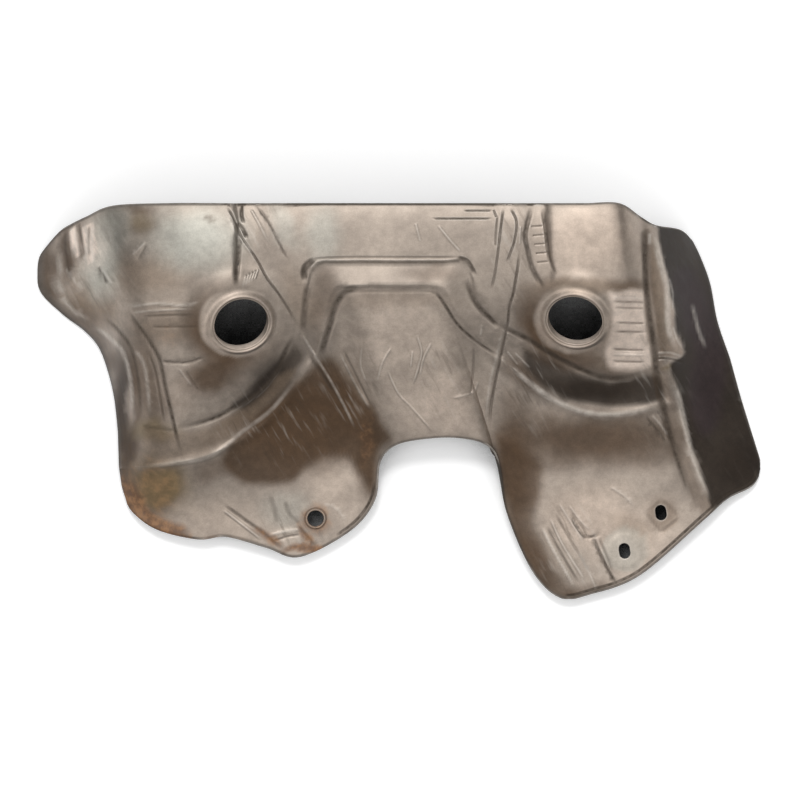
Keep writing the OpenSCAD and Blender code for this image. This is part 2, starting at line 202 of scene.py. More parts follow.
def pressedHeight(s, r):
    # the form with the bead over the feet, and the drop from each boss to the plateau's middle
    feet = 1 - ramp(7.5, 9, s) * (1 - ramp(14, 15.5, s))
    bead = sheet["bead"] * feet * ramp(1.8, 2, r) * (1 - ramp(2, 2.08, r))
    (lIn, lOut), (rIn, rOut), fold = sheet["bossLeft"], sheet["bossRight"], sheet["fold"]
    leftFold = fold * (1 + 4 * (1 - ramp(0, 0.25, r)))
    leftDrop = ramp(lIn, lIn + 2 * leftFold, s) * (1 - ramp(lIn + 0.5, lOut, s))
    rightDrop = (1 - ramp(rIn - 2 * fold, rIn, s)) * ramp(rOut, rIn - 0.5, s)
    drop = sheet["bossDrop"] * (1 - ramp(0.5, 0.8, r)) * (leftDrop + rightDrop)
    return formHeight(s, r) + bead - drop


# The drawn holes, in millimetres. A lip is a list of places: distance from the hole's axis, then height
# over the flat. The face is cut at "cut" and the underside at "under", and the flat runs out at "blend".
portLip = [(19.6, 0.2), (19.1, 0.5), (18.6, 0.95), (18.1, 1.5), (17.7, 1.95), (17.3, 2.25), (16.9, 2.4),
           (16.5, 2.25), (16.15, 1.9), (15.9, 1.75), (15.6, 1.8), (15.3, 1.7), (15.1, 1.4), (15.0, 0.8),
           (15.0, -1.2), (15.0, -2.8), (15.15, -3.0), (15.85, -3.0), (16.0, -2.8), (16.0, -0.6), (16.4, 0.6),
           (17.2, 1.2), (17.8, 0.6), (18.3, -0.4), (19.2, -0.95)]
boltLip = [(6.2, 0.08), (5.85, 0.3), (5.6, 0.7), (5.45, 1.1), (5.2, 1.35), (4.9, 1.4), (4.6, 1.2), (4.5, 0.8),
           (4.5, -0.7), (4.7, -1.0)]
slotLip = [(3.2, -0.03), (3.03, -0.15), (3.0, -0.35), (3.0, -0.85), (3.1, -1.0)]
holes = {
    "port_left": {"flat": 21.5, "blend": 37, "swell": 1, "long": 0, "cut": 20.2, "under": 20.6,
                  "lip": portLip},
    "port_right": {"flat": 21.5, "blend": 34, "swell": 1, "long": 0, "cut": 20.2, "under": 20.6,
                   "lip": portLip},
    "bolt_hole": {"flat": 8.5, "blend": 14.5, "swell": 0, "long": 0, "cut": 6.7, "under": 6.6,
                  "lip": boltLip},
    "slot_outer": {"flat": 11.5, "blend": 16.5, "swell": 0, "long": 1.3, "cut": 3.5,
                   "under": 4.6, "lip": slotLip, "pad": 10.5, "padHigh": 0.3},
    "slot_inner": {"flat": 9.3, "blend": 15.3, "swell": 0, "long": 1.3, "cut": 3.5,
                   "under": 4.6, "lip": slotLip},
}
slotLean = math.radians(8)
ports = [name for name in holes if holes[name]["swell"]]
smallHoles = [name for name in holes if name not in ports]


def placeHoles():
    # each hole's middle and axes, as the frame gives them
    for mount in frame["record"]["mounts"]:
        h = holes[mount["name"]]
        axis = np.array(mount["axis"])
        h["middle"] = np.array(mount["pos_m"]) / mm + sheet["origin"] + axis * (h["swell"] > 0)
        tip, swing = -math.asin(axis[1]), math.atan2(axis[0], axis[2])
        across = np.array([math.cos(swing), 0, -math.sin(swing)])
        along = np.cross(axis, across)
        h["axes"] = np.array([across, along, axis])
        h["slope"] = -axis[:2] / axis[2]


def inHole(h, xyz):
    return (xyz - h["middle"]) @ h["axes"].T


def holeReach(h, local):
    # distance from a round hole's middle, or from the line down the middle of a slot, and that line's place
    lean = slotLean if h["long"] else 0
    c, s = math.cos(lean), math.sin(lean)
    a, b = local[:, 0] * c + local[:, 1] * s, local[:, 1] * c - local[:, 0] * s
    core = np.clip(b, -h["long"], h["long"])
    reach = np.hypot(a, b - core)
    return reach, np.stack([-core * s, core * c], 1)


def onLip(h, local, reach, high):
    was, core = holeReach(h, local)
    flat = core + (local[:, :2] - core) * (reach / was)[:, None]
    return h["middle"] + np.column_stack([flat, np.full(len(flat), high)]) @ h["axes"]


def levelled(place, z):
    # flattens the sheet round each hole, and raises the pad of the outer slot
    for h in holes.values():
        off = place - h["middle"][:2]
        rise = off @ h["slope"]
        reach = np.hypot(np.hypot(off[:, 0], off[:, 1]), rise)
        w = 1 - ramp(h["flat"], h["blend"], reach)
        z = mix(z, h["middle"][2] + rise, w)
        if "pad" in h:
            z = z + h["padHigh"] * (1 - ramp(h["pad"] - 2.5, h["pad"] + 0.5, reach))
    return z


# Wrinkles and creases by pixel of the photograph: half width in pixels, height in millimetres
# (a groove's is below nothing), then the places that each runs through
strokes = [
    # left boss and the diagonals beside it
    (1.8, -0.6, (225, 205), (232, 215), (241, 236), (251, 251), (259, 264), (267, 278), (278, 293),
     (290, 312), (300, 332)),
    (2.6, 0.45, (227, 217), (236, 233), (244, 243), (253, 254)),
    (2.0, 0.45, (301, 333), (313, 353), (330, 380), (345, 408), (355, 429)),
    (2.6, -0.6, (308, 354), (320, 371), (334, 394)),
    (1.6, -0.45, (257, 206), (265, 217), (270, 225), (276, 237), (282, 249), (289, 262)),
    (2.0, 0.3, (250, 208), (258, 222), (268, 242)),
    (4.4, -0.9, (237, 222), (238, 250), (236, 270), (235, 290)),
    (2.4, -0.7, (242, 203), (241, 213), (243, 223)),
    (3.0, -0.8, (237, 222), (242, 229), (247, 238)),
    (1.8, -0.4, (180, 363), (190, 362), (203, 357)),
    # left plateau and the crease down its side
    (2.8, -0.75, (127, 308), (138, 325), (149, 341), (159, 360), (165, 388), (171, 413), (176, 435),
     (183, 466)),
    (2.2, 0.5, (123, 306), (158, 303), (183, 305), (200, 301)),
    (1.8, 0.35, (130, 312), (157, 310), (195, 308)),
    (1.8, -0.35, (140, 316), (196, 314)),
    (1.8, -0.35, (150, 327), (200, 326)),
    (2.0, -0.45, (160, 361), (183, 362), (205, 356)),
    (1.7, 0.3, (178, 368), (192, 386)),
    (1.7, -0.3, (185, 370), (199, 391)),
    (1.8, 0.3, (131, 255), (145, 241)),
    (1.8, -0.3, (137, 260), (146, 244)),
    # ledges of the left foot
    (3.6, -0.8, (172, 429), (210, 419), (235, 406), (258, 391), (275, 371), (286, 349), (296, 332)),
    (2.6, -0.4, (140, 425), (158, 428), (176, 430)),
    (3.2, 0.35, (140, 466), (170, 463), (210, 456), (242, 431), (271, 409), (300, 374)),
    # left lobe and its flutes
    (3.2, 0.9, (71, 226), (74, 240), (75, 258)),
    (2.4, -0.6, (78, 226), (80, 240), (80, 256)),
    (3.0, 0.9, (84, 223), (87, 241), (85, 263)),
    (3.0, 0.8, (93, 224), (91, 245), (94, 264)),
    (2.4, -0.9, (97, 266), (108, 284)),
    (2.0, 0.5, (103, 268), (112, 284)),
    (3.5, 0.6, (61, 246), (59, 267), (60, 287), (66, 303), (76, 312), (92, 321)),
    (1.8, 0.4, (64, 266), (73, 279), (85, 293)),
    (3.4, -0.4, (65, 230), (66, 258), (71, 285)),
    (2.0, -0.5, (89, 225), (88, 240), (89, 258)),
    (3.2, 0.6, (92, 324), (111, 339), (124, 355), (131, 388), (131, 420)),
    (2.8, -0.5, (101, 314), (119, 331), (132, 351), (139, 390), (140, 422)),
    (2.6, 0.5, (134, 349), (142, 360), (146, 376), (150, 418)),
    (2.0, -0.4, (148, 352), (155, 372), (160, 400), (164, 424)),
    # left foot
    (2.2, -0.6, (223, 504), (245, 520), (262, 532), (286, 552)),
    (2.0, 0.4, (222, 509), (243, 525), (262, 540)),
    (3.4, -0.3, (270, 495), (274, 510), (277, 525)),
    (3.0, -0.35, (284, 500), (290, 515), (301, 524)),
    (2.2, -0.6, (298, 525), (307, 536), (316, 547)),
    (2.2, 0.5, (266, 536), (284, 531), (302, 529)),
    (1.8, -0.4, (270, 541), (288, 536), (300, 534)),
    (2.0, 0.35, (322, 503), (334, 507), (346, 520)),
    # the two steps of the middle
    (2.2, -0.3, (311, 260), (320, 258), (345, 257), (400, 257), (440, 257), (463, 257)),
    (4.2, -0.9, (314, 259), (306, 265), (303, 272), (305, 281)),
    (4.4, -0.5, (307, 284), (304, 305), (302, 336)),
    (3.0, -0.8, (457, 257), (467, 261), (475, 275)),
    (3.8, -1.0, (467, 280), (473, 297), (480, 308), (491, 319), (499, 327)),
    (2.2, -0.3, (348, 291), (390, 290), (425, 290), (438, 295)),
    (5.0, -1.1, (362, 289), (346, 291), (336, 303), (330, 324), (324, 342), (317, 364)),
    (2.6, -0.75, (433, 291), (440, 298), (448, 310), (457, 324), (471, 337), (486, 348), (502, 358)),
    # middle panel
    (1.8, -0.45, (343, 349), (352, 368), (362, 388), (372, 408)),
    (1.7, 0.4, (339, 351), (349, 372), (360, 393), (370, 409)),
    (1.6, 0.35, (361, 346), (360, 365), (366, 382)),
    (1.6, 0.35, (391, 347), (382, 362), (376, 382)),
    (1.6, 0.3, (386, 368), (398, 393), (412, 408), (433, 432)),
    (1.6, 0.35, (416, 334), (421, 350), (418, 366), (412, 386)),
    (1.6, 0.35, (431, 342), (423, 358), (419, 376)),
    (1.5, 0.3, (412, 350), (410, 368)),
    (1.8, -0.35, (473, 345), (473, 365), (470, 397)),
    (1.8, 0.3, (452, 398), (472, 392), (478, 380)),
    (1.8, 0.3, (482, 324), (480, 336)),
    (1.7, 0.3, (415, 222), (420, 242)),
    (1.8, 0.3, (437, 224), (450, 240), (461, 252)),
    # right boss edges and the long crease down to the notch
    (2.0, -0.65, (520, 246), (517, 269), (513, 292), (509, 306), (507, 324), (503, 343), (499, 362),
     (494, 385), (490, 410), (489, 438)),
    (2.2, 0.4, (502, 330), (497, 352), (489, 385), (484, 425)),
    (1.7, -0.5, (509, 206), (516, 221), (514, 240), (510, 252), (506, 263)),
    (1.8, -0.45, (503, 206), (500, 229), (497, 255), (494, 275), (490, 292)),
    (1.5, -0.3, (497, 214), (495, 234), (495, 247)),
    (3.0, -0.9, (532, 204), (526, 227), (525, 238), (528, 252), (531, 265), (537, 278), (544, 290)),
    (2.8, -0.8, (542, 206), (545, 229), (547, 246), (550, 261), (556, 277)),
    (2.0, 0.3, (520, 225), (519, 245)),
    # ledges of the right foot
    (4.2, -1.0, (497, 322), (508, 329), (526, 338), (544, 349), (561, 359), (581, 369), (603, 377),
     (628, 377), (656, 369)),
    (4.4, 0.6, (505, 361), (530, 383), (558, 402), (590, 413), (626, 413), (662, 405)),
    (1.6, 0.35, (506, 350), (518, 365)),
    (1.6, 0.35, (514, 352), (530, 368)),
    (1.6, -0.35, (510, 366), (528, 388)),
    (1.6, -0.35, (524, 370), (542, 394)),
    (2.0, -0.5, (645, 416), (657, 430), (667, 444)),
    (1.8, 0.4, (651, 414), (660, 424), (668, 436)),
    (1.7, -0.4, (656, 410), (667, 424)),
    # crease and rolled bead beside the flank
    (5.0, -1.1, (642, 214), (644, 238), (645, 276), (648, 308), (652, 334), (656, 370), (662, 402),
     (669, 432), (677, 460), (687, 489), (704, 515)),
    (5.0, 0.8, (652, 230), (660, 263), (666, 285), (667, 308), (668, 328), (676, 350)),
    (1.8, 0.5, (668, 276), (672, 292), (672, 312)),
    (1.8, 0.5, (672, 325), (676, 338), (682, 349)),
    (2.4, 0.6, (649, 232), (649, 245)),
    (4.0, 0.6, (672, 380), (680, 404), (687, 436), (696, 468), (711, 502)),
    (2.0, 0.5, (656, 353), (668, 352), (682, 356)),
    (1.8, -0.5, (655, 358), (668, 358), (684, 362)),
    (3.0, 0.5, (691, 302), (695, 318), (698, 330), (706, 350)),
    # right foot
    (2.2, 0.6, (541, 526), (550, 544), (560, 562), (576, 590)),
    (1.8, -0.45, (546, 526), (555, 543), (565, 560), (581, 587)),
    (2.0, 0.45, (549, 516), (560, 540), (572, 560), (586, 582)),
    (1.8, -0.4, (554, 512), (568, 536), (580, 556), (592, 578)),
    (2.0, 0.4, (558, 502), (572, 524), (584, 540)),
    (1.8, 0.35, (568, 504), (580, 520), (590, 530)),
    (2.2, -0.6, (571, 512), (576, 526), (586, 537), (602, 533)),
    (2.0, -0.8, (592, 536), (603, 560), (618, 588)),
    (1.6, -0.4, (599, 537), (605, 553), (613, 574)),
    (2.6, -0.2, (645, 512), (661, 499)), (2.6, -0.25, (645, 512), (662, 533)),
    (2.6, -0.25, (660, 532), (679, 517)), (2.6, -0.2, (662, 499), (679, 516)),
    (1.8, 0.4, (576, 548), (590, 575), (596, 590)),
    (2.0, 0.35, (609, 486), (622, 494), (634, 506)),
]
# Strokes that repeat: ribs beside the right port, rungs beside the right boss, ticks above the left port
repeats = {
    "ribs": [(297, 0.4), (301, -0.5), (307, -0.4), (322, -0.5), (331, -0.5), (349, -0.5), (354, 0.4),
             (361, -0.5)],
    "ribHalf": 1.9,
    "ribAlong": (611, 630, 646),
    "rows": [
        {"count": 5, "half": 1.4, "high": -0.3, "from": (530, 226), "step": (1.5, 9), "run": (13, -1)},
        {"count": 5, "half": 1.5, "high": 0.35, "from": (242, 286), "step": (3, -1.6), "run": (4, -12)},
    ],
    "frame": [((431, 218), (462, 218), (493, 218)), ((463, 210), (478, 210), (492, 210)),
              ((493, 209), (496, 217))],
    "frameHalf": 1.5,
    "frameHigh": -0.35,
}
for across, high in repeats["ribs"]:
    rib = [(x, across + k / 2) for k, x in enumerate(repeats["ribAlong"])]
    strokes.append((repeats["ribHalf"], high, *rib))
for row in repeats["rows"]:
    for k in range(row["count"]):
        x, y = (a + k * b for a, b in zip(row["from"], row["step"]))
        strokes.append((row["half"], row["high"], (x, y), (x + row["run"][0], y + row["run"][1])))
for line in repeats["frame"]:   # the bare outline pressed near the top edge
    strokes.append((repeats["frameHalf"], repeats["frameHigh"], *line))

# How the strokes and the wavy sheet between them are raised, in millimetres
emboss = {
    "limits": (-0.8, 1.0),
    "waves": np.linspace(13, 42, 14),
    "waveShare": 0.0011,
    "seed": 4,
    "rimCalm": (1.5, 5.5),     # no relief nearer to the rim than the first, all of it beyond the second
    "holeCalm": (1, 8),
    "fullMark": 0.7,           # a stroke this high or deep is marked in full
}


def fromPhoto(places):
    return (np.array(places, float) - photo["middle"]) * (photo["pixel"], -photo["pixel"])


def smoothLine(line):
    line = fromPhoto(line)
    return curveThrough(line, np.linspace(0, len(line) - 1, 5 * len(line))) if len(line) > 2 else line


def alongStroke(place, line):
    # distance to a drawn line, and how far along it the nearest spot lies
    line = smoothLine(line)
    a, step = line[:-1], np.diff(line, axis=0)
    share = np.clip(((place[:, None] - a) * step).sum(2) / (step ** 2).sum(1), 0, 1)
    far = np.linalg.norm(place[:, None] - a - share[..., None] * step, axis=2)
    k = far.argmin(1)
    row = np.arange(len(place))
    return far[row, k], (k + share[row, k]) / len(a)


def nearLine(place, line, reach):
    # the points in the box round a line
    ends = fromPhoto(line)
    return ((place > ends.min(0) - reach) & (place < ends.max(0) + reach)).all(1).nonzero()[0]


def overStrokes(place, chosen, reach):
    # every stroke with the points that it touches
    for half, high, *line in chosen:
        wide = half * photo["pixel"]
        near = nearLine(place, line, wide + reach)
        if len(near):
            yield wide, high, near, *alongStroke(place[near], line)


def ripple(rng, place, wave):
    turn, start = rng.uniform(0, math.tau, 2)
    return wave * np.sin(place @ (math.cos(turn), math.sin(turn)) * math.tau / wave + start)


def relief(place):
    raised = np.zeros(len(place))
    for wide, high, near, far, share in overStrokes(place, strokes, 0):
        taper = ramp(0, 0.12, share) * (1 - ramp(0.85, 1, share))
        raised[near] += high * taper * np.maximum(1 - (far / wide) ** 2, 0) ** 2
    raised = np.clip(raised, *emboss["limits"])
    rng = np.random.default_rng(emboss["seed"])
    for wave in emboss["waves"]:
        raised += emboss["waveShare"] * ripple(rng, place, wave)
    return raised


def creased(place):
    # how far each point lies in a groove, and on a ridge
    groove, ridge = np.zeros((2, len(place)))
    for wide, high, near, far, share in overStrokes(place, strokes, 0):
        taper = ramp(0, 0.15, share) * (1 - ramp(0.8, 1, share))
        mark = min(1, abs(high) / emboss["fullMark"]) * taper * (1 - ramp(0.15, 1, far / wide))
        kind = ridge if high > 0 else groove
        kind[near] = np.maximum(kind[near], mark)
    return groove, ridge


def fromRim(s, r):
    # distance from the nearest edge of the sheet, measured along it
    def span(a, b):
        return np.linalg.norm(planPlace(*b) - planPlace(*a), axis=1)
    one, none = np.ones(len(s)), np.zeros(len(s))
    low, high = none + lastSection - 1, none + lastSection
    return np.minimum.reduce([r * span((s, none), (s, one)), (3 - r) * span((s, 2 * one), (s, 3 * one)),
                              s * span((none, r), (one, r)), (high - s) * span((low, r), (high, r))])


def sectionAt(columns):
    # sections along the sheet, one column apart
    s = np.linspace(0, lastSection, 20 * lastSection + 1)
    walk = np.linalg.norm(np.diff(planPlace(s, np.full(len(s), 0.7)), axis=0), axis=1).cumsum()
    walk = np.concatenate([[0], walk])
    return np.interp(np.linspace(0, walk[-1], columns + 1), walk, s)


def flatGrid(columns, rows, deep):
    # a flat grid whose x is the section, y the row and z how many thicknesses it lies below the sheet's face
    bm = bmesh.new()
    bmesh.ops.create_grid(bm, x_segments=columns, y_segments=rows, size=0.5)
    sections = sectionAt(columns)
    shares, ledges = zip(*sheet["rowShares"])
    for v in bm.verts:
        column = round((v.co.x + 0.5) * columns)
        share = 0.5 - v.co.y
        v.co = (sections[column], np.interp(share, shares, ledges), deep)
    return bm


def places(bm):
    co = np.array([v.co[:] for v in bm.verts])
    return co[:, 0], co[:, 1], co[:, 2]


def planOf(bm):
    return planPlace(*places(bm)[:2])


def cutFiner(bm, wanted):
    # halves the cells whose corners are all wanted, away from the rim
    for v, want in zip(bm.verts, wanted):
        v.tag = bool(want)
    edges = [e for e in bm.edges if e.verts[0].tag and e.verts[1].tag and not e.is_boundary]
    bmesh.ops.subdivide_edges(bm, edges=edges, cuts=1, use_grid_fill=True)
    bm.verts.index_update()


def nearStrokes(place, chosen, reach):
    hit = np.zeros(len(place), bool)
    for wide, high, near, far, share in overStrokes(place, chosen, reach):
        hit[near[far < wide + reach]] = True
    return hit


def nearHoles(place, names, inner, outer):
    hit = np.zeros(len(place), bool)
    for name in names:
        reach = np.linalg.norm(place - holes[name]["middle"][:2], axis=1)
        hit |= (reach > inner) & (reach < outer)
    return hit


def blur(values, ends, rounds):
    # evens a value out over neighbouring points
    count = 1 + np.bincount(ends.ravel(), minlength=len(values))
    one, other = ends.T
    for again in range(rounds):
        around = np.bincount(one, values[other], len(values)), np.bincount(other, values[one], len(values))
        values = (values + around[0] + around[1]) / count
    return values


def sheetPoints(bm, embossed):
    # puts every point of the flat grid on the pressed sheet's face, and returns how deep each goes
    s, r, deep = places(bm)
    s, r = rounded(s, r)
    place = planPlace(s, r)
    high = levelled(place, pressedHeight(s, r))
    if embossed:
        calm = ramp(*emboss["rimCalm"], fromRim(s, r))
        none, full = emboss["holeCalm"]
        for h in holes.values():
            reach = np.linalg.norm(place - h["middle"][:2], axis=1)
            calm *= ramp(h["cut"] + none, h["cut"] + full, reach)
        high += relief(place) * calm
    for v, x, y, z in zip(bm.verts, *place.T, high):
        v.co = (x, y, z)
    return deep


def openHole(bm, h, cut):
    # removes the faces inside a hole, then rounds and evens the edge that is left
    middles = np.array([f.calc_center_median()[:] for f in bm.faces])
    local = inHole(h, middles)
    reach = holeReach(h, local)[0]
    gone = (reach < cut) & (abs(local[:, 2]) < 12)
    bm.faces.ensure_lookup_table()
    bmesh.ops.delete(bm, geom=[bm.faces[k] for k in gone.nonzero()[0]], context="FACES")
    middle = Vector(h["middle"])
    while pinched := [v for v in bm.verts if sum(e.is_boundary for e in v.link_edges) > 2]:
        extra = {min(v.link_faces, key=lambda f: (f.calc_center_median() - middle).length) for v in pinched}
        bmesh.ops.delete(bm, geom=list(extra), context="FACES")
    loop = min(openRings(bm), key=lambda q: np.linalg.norm(np.mean([v.co[:] for v in q], 0) - h["middle"]))
    setLip(h, loop, cut, None)
    for again in range(8):
        spots = np.array([v.co[:] for v in loop])
        for v, spot in zip(loop, (np.roll(spots, 1, 0) + 2 * spots + np.roll(spots, -1, 0)) / 4):
            v.co = spot
        setLip(h, loop, cut, None)
    corners = set(loop)
    return [e for e in bm.edges if e.is_boundary and e.verts[0] in corners and e.verts[1] in corners]


def setLip(h, loop, reach, high):
    local = inHole(h, np.array([v.co[:] for v in loop]))
    keep = local[:, 2] if high is None else high
    spots = onLip(h, local, reach, keep)
    for v, spot in zip(loop, spots):
        v.co = spot


def rollLip(bm, h, ring):
    # carries a hole's edge over its lip, one step of the section at a time
    lift = h.get("padHigh", 0)
    for reach, high in h["lip"]:
        made = bmesh.ops.extrude_edge_only(bm, edges=ring)["geom"]
        ring = [g for g in made if isinstance(g, bmesh.types.BMEdge) and g.is_boundary]
        setLip(h, list({v for e in ring for v in e.verts}), reach, high + lift)


def openRings(bm):
    # the open edges as rings of points, all of them anticlockwise in plan
    edges = {e for e in bm.edges if e.is_boundary}
    found = []
    while edges:
        step = edges.pop()
        ring = list(step.verts)
        while True:
            step = next((e for e in ring[-1].link_edges if e in edges), None)
            if step is None:
                break
            edges.discard(step)
            ring.append(step.other_vert(ring[-1]))
        ring.pop()
        spots = np.array([v.co[:2] for v in ring])
        ahead = np.roll(spots, -1, 0)
        if (spots[:, 0] * ahead[:, 1] - spots[:, 1] * ahead[:, 0]).sum() < 0:
            ring.reverse()
        found.append(ring)
    return found


def outerLoop(bm):
    # the rim's points in order, with the way up and the way out at each
    loop, = openRings(bm)
    here = np.array([v.co[:] for v in loop])
    up = np.array([v.normal[:] for v in loop])
    up *= np.sign(up[:, 2:])
    for again in range(12):
        up = (np.roll(up, 1, 0) + 2 * up + np.roll(up, -1, 0)) / 4
    ahead = np.roll(here, -1, 0) - np.roll(here, 1, 0)
    out = np.cross(ahead, (0, 0, 1))
    out /= np.linalg.norm(out, axis=1)[:, None]
    up -= np.minimum((up * out).sum(1), 0)[:, None] * out
    up /= np.linalg.norm(up, axis=1)[:, None]
    away = np.cross(ahead, up)
    return loop, here, up, away / np.linalg.norm(away, axis=1)[:, None]


def buildFace():
    bm = flatGrid(*sheet["grid"], 0)
    for reach, widest, portReach in sheet["finer"]:
        place = planOf(bm)
        wanted = nearStrokes(place, [w for w in strokes if w[0] < widest], reach)
        wanted |= nearHoles(place, smallHoles, 0, sheet["smallReach"])
        wanted |= nearHoles(place, ports, 15, portReach)
        if not portReach:
            wanted &= ~nearHoles(place, ports, 0, 24)
        cutFiner(bm, wanted)
        print("cells", len(bm.faces))
    sheetPoints(bm, True)
    bm.normal_update()
    loop, here, up, away = outerLoop(bm)
    thick = sheet["thick"]
    ring = [e for e in bm.edges if e.is_boundary]
    middle = here - thick * (up + away)
    for v, spot in zip(loop, here - thick * away):
        v.co = spot
    order = {v: k for k, v in enumerate(loop)}
    for turn in sheet["rimTurns"]:
        made = bmesh.ops.extrude_edge_only(bm, edges=ring)["geom"]
        fresh = [g for g in made if isinstance(g, bmesh.types.BMVert)]
        order = {v: next(order[e.other_vert(v)] for e in v.link_edges if e.other_vert(v) in order)
                 for v in fresh}
        a = math.radians(turn)
        for v, k in order.items():
            v.co = middle[k] + thick * (math.cos(a) * away[k] + math.sin(a) * up[k])
        ring = [g for g in made if isinstance(g, bmesh.types.BMEdge) and g.is_boundary]
    return bm


def setHemLine(bm, columns, rows):
    # moves the second line of points all round to where the hem ends
    s, r, deep = places(bm)
    sections = sectionAt(columns)
    shares, ledges = zip(*sheet["rowShares"])
    topRow, lowRow = np.interp((1 / rows, 1 - 1 / rows), shares, ledges)
    one, none, near = np.ones(len(s)), np.zeros(len(s)), 1e-4
    upper = hemShare(planPlace(s, none), planPlace(s, one))
    lower = hemShare(planPlace(s, 2 * one), planPlace(s, 3 * one))
    first = hemShare(planPlace(none, r), planPlace(one, r))
    final = hemShare(planPlace(none + lastSection - 1, r), planPlace(none + lastSection, r))
    toEnd = lastSection - s
    newR = np.select([r < near, r < 1, r > 3 - near, r > 2],
                     [r, pushedIn(r, topRow, upper, 1), r, 3 - pushedIn(3 - r, 3 - lowRow, lower, 1)], r)
    newS = np.select([s < near, s < 2, toEnd < near, toEnd < 2],
                     [s, pushedIn(s, sections[1], first, 2), s,
                      lastSection - pushedIn(toEnd, lastSection - sections[-2], final, 2)], s)
    for v, x, y in zip(bm.verts, newS, newR):
        v.co.x, v.co.y = x, y


def buildUnderside():
    bm = flatGrid(*sheet["underGrid"], 2)
    setHemLine(bm, *sheet["underGrid"])
    inner = [f for f in bm.faces if not any(e.is_boundary for v in f.verts for e in v.link_edges)]
    made = bmesh.ops.extrude_face_region(bm, geom=inner)["geom"]
    bmesh.ops.delete(bm, geom=inner, context="FACES")
    for v in (g for g in made if isinstance(g, bmesh.types.BMVert)):
        v.co.z = 1
    for less in (0, 3):
        cutFiner(bm, nearHoles(planOf(bm), smallHoles, 0, sheet["smallReach"] - less))
    deep = sheetPoints(bm, False)
    bm.normal_update()
    loop, here, up, away = outerLoop(bm)
    bm.verts.index_update()
    ends = np.array([[v.index for v in e.verts] for e in bm.edges])
    ups = np.array([v.normal[:] for v in bm.verts])
    ups *= np.sign(ups[:, 2:])
    ups = np.stack([blur(u, ends, 5) for u in ups.T], 1)
    return bm, deep, ups / np.linalg.norm(ups, axis=1)[:, None], loop, here, up, away


def joinRings(bm, one, other):
    # closes the gap between two rings with triangles, always by the shorter way across
    start = min(range(len(other)), key=lambda k: (other[k].co - one[0].co).length)
    other = other[start:] + other[:start]
    i = j = 0
    while i < len(one) or j < len(other):
        a, b = one[i % len(one)], other[j % len(other)]
        nextA, nextB = one[(i + 1) % len(one)], other[(j + 1) % len(other)]
        if j == len(other) or (i < len(one) and (nextA.co - b.co).length < (nextB.co - a.co).length):
            bm.faces.new((a, nextA, b))
            i += 1
        else:
            bm.faces.new((a, nextB, b))
            j += 1


def closeSheet(bm):
    # joins the face to the underside round the rim and inside each hole
    pairs = {name: [] for name in ["rim", *holes]}
    for ring in openRings(bm):
        spots = np.array([v.co[:] for v in ring])
        middle = (spots.min(0) + spots.max(0)) / 2
        name = min(holes, key=lambda n: np.linalg.norm(middle - holes[n]["middle"]))
        if np.ptp(spots[:, 0]) > 100:
            name = "rim"
        pairs[name].append(ring)
    for one, other in pairs.values():
        joinRings(bm, one, other)
    bmesh.ops.dissolve_verts(bm, verts=[v for v in bm.verts if len(v.link_edges) == 2])


def buildShield():
    placeHoles()
    thick = sheet["thick"]
    face = buildFace()
    print("face", len(face.faces))
    for h in holes.values():
        rollLip(face, h, openHole(face, h, h["cut"]))
    bm, deep, ups, loop, here, up, away = buildUnderside()
    for v, d, u in zip(bm.verts, deep, ups):
        v.co -= Vector(u * d * thick)
    for v, spot, out, high in zip(loop, here, away, up):
        v.co = Vector(spot - 2 * thick * high - 1.5 * thick * out)
    for h in holes.values():
        openHole(bm, h, h["under"])
    print("underside", len(bm.faces))
    part = bpy.data.meshes.new("part")
    face.to_mesh(part)
    bm.from_mesh(part)
    closeSheet(bm)
    bmesh.ops.translate(bm, verts=bm.verts, vec=-Vector(sheet["origin"]))
    bmesh.ops.scale(bm, verts=bm.verts, vec=(mm, mm, mm))
    for v in bm.verts:
        v.co = np.clip(v.co, cadLow, cadHigh)
    bmesh.ops.recalc_face_normals(bm, faces=bm.faces)
    bmesh.ops.triangulate(bm, faces=[f for f in bm.faces if len(f.verts) > 4])
    sharp = math.radians(50)
    for f in bm.faces:
        f.smooth = True
    for e in bm.edges:
        e.smooth = len(e.link_faces) == 2 and e.calc_face_angle() < sharp
    print("closed", all(len(e.link_faces) == 2 for e in bm.edges), "cells", len(bm.faces),
          "triangles", sum(len(f.verts) - 2 for f in bm.faces))
    mesh = bpy.data.meshes.new("heatShieldSheet")
    bm.to_mesh(mesh)
    return addObject("heatShieldSheet", mesh)


# The metal's colours, and how bare of dirt it is under each; some of them also stand for painted shade and
# painted highlights
tints = {
    "steel": (0.35, 0.295, 0.248, 0.9),
    "silver": (0.40, 0.39, 0.345, 1),
    "beige": (0.50, 0.41, 0.34, 1),
    "blushAndHighlight": (0.74, 0.61, 0.51, 1),
    "chalk": (0.95, 0.80, 0.69, 0.45),
    "taupe": (0.215, 0.158, 0.112, 0.7),
    "umber": (0.078, 0.045, 0.024, 0.3),
    "olive": (0.18, 0.132, 0.07, 0.3),
    "plum": (0.045, 0.030, 0.034, 0.4),
    "soot": (0.020, 0.013, 0.0085, 0.1),
    "under": (0.07, 0.062, 0.055, 0.25),
}
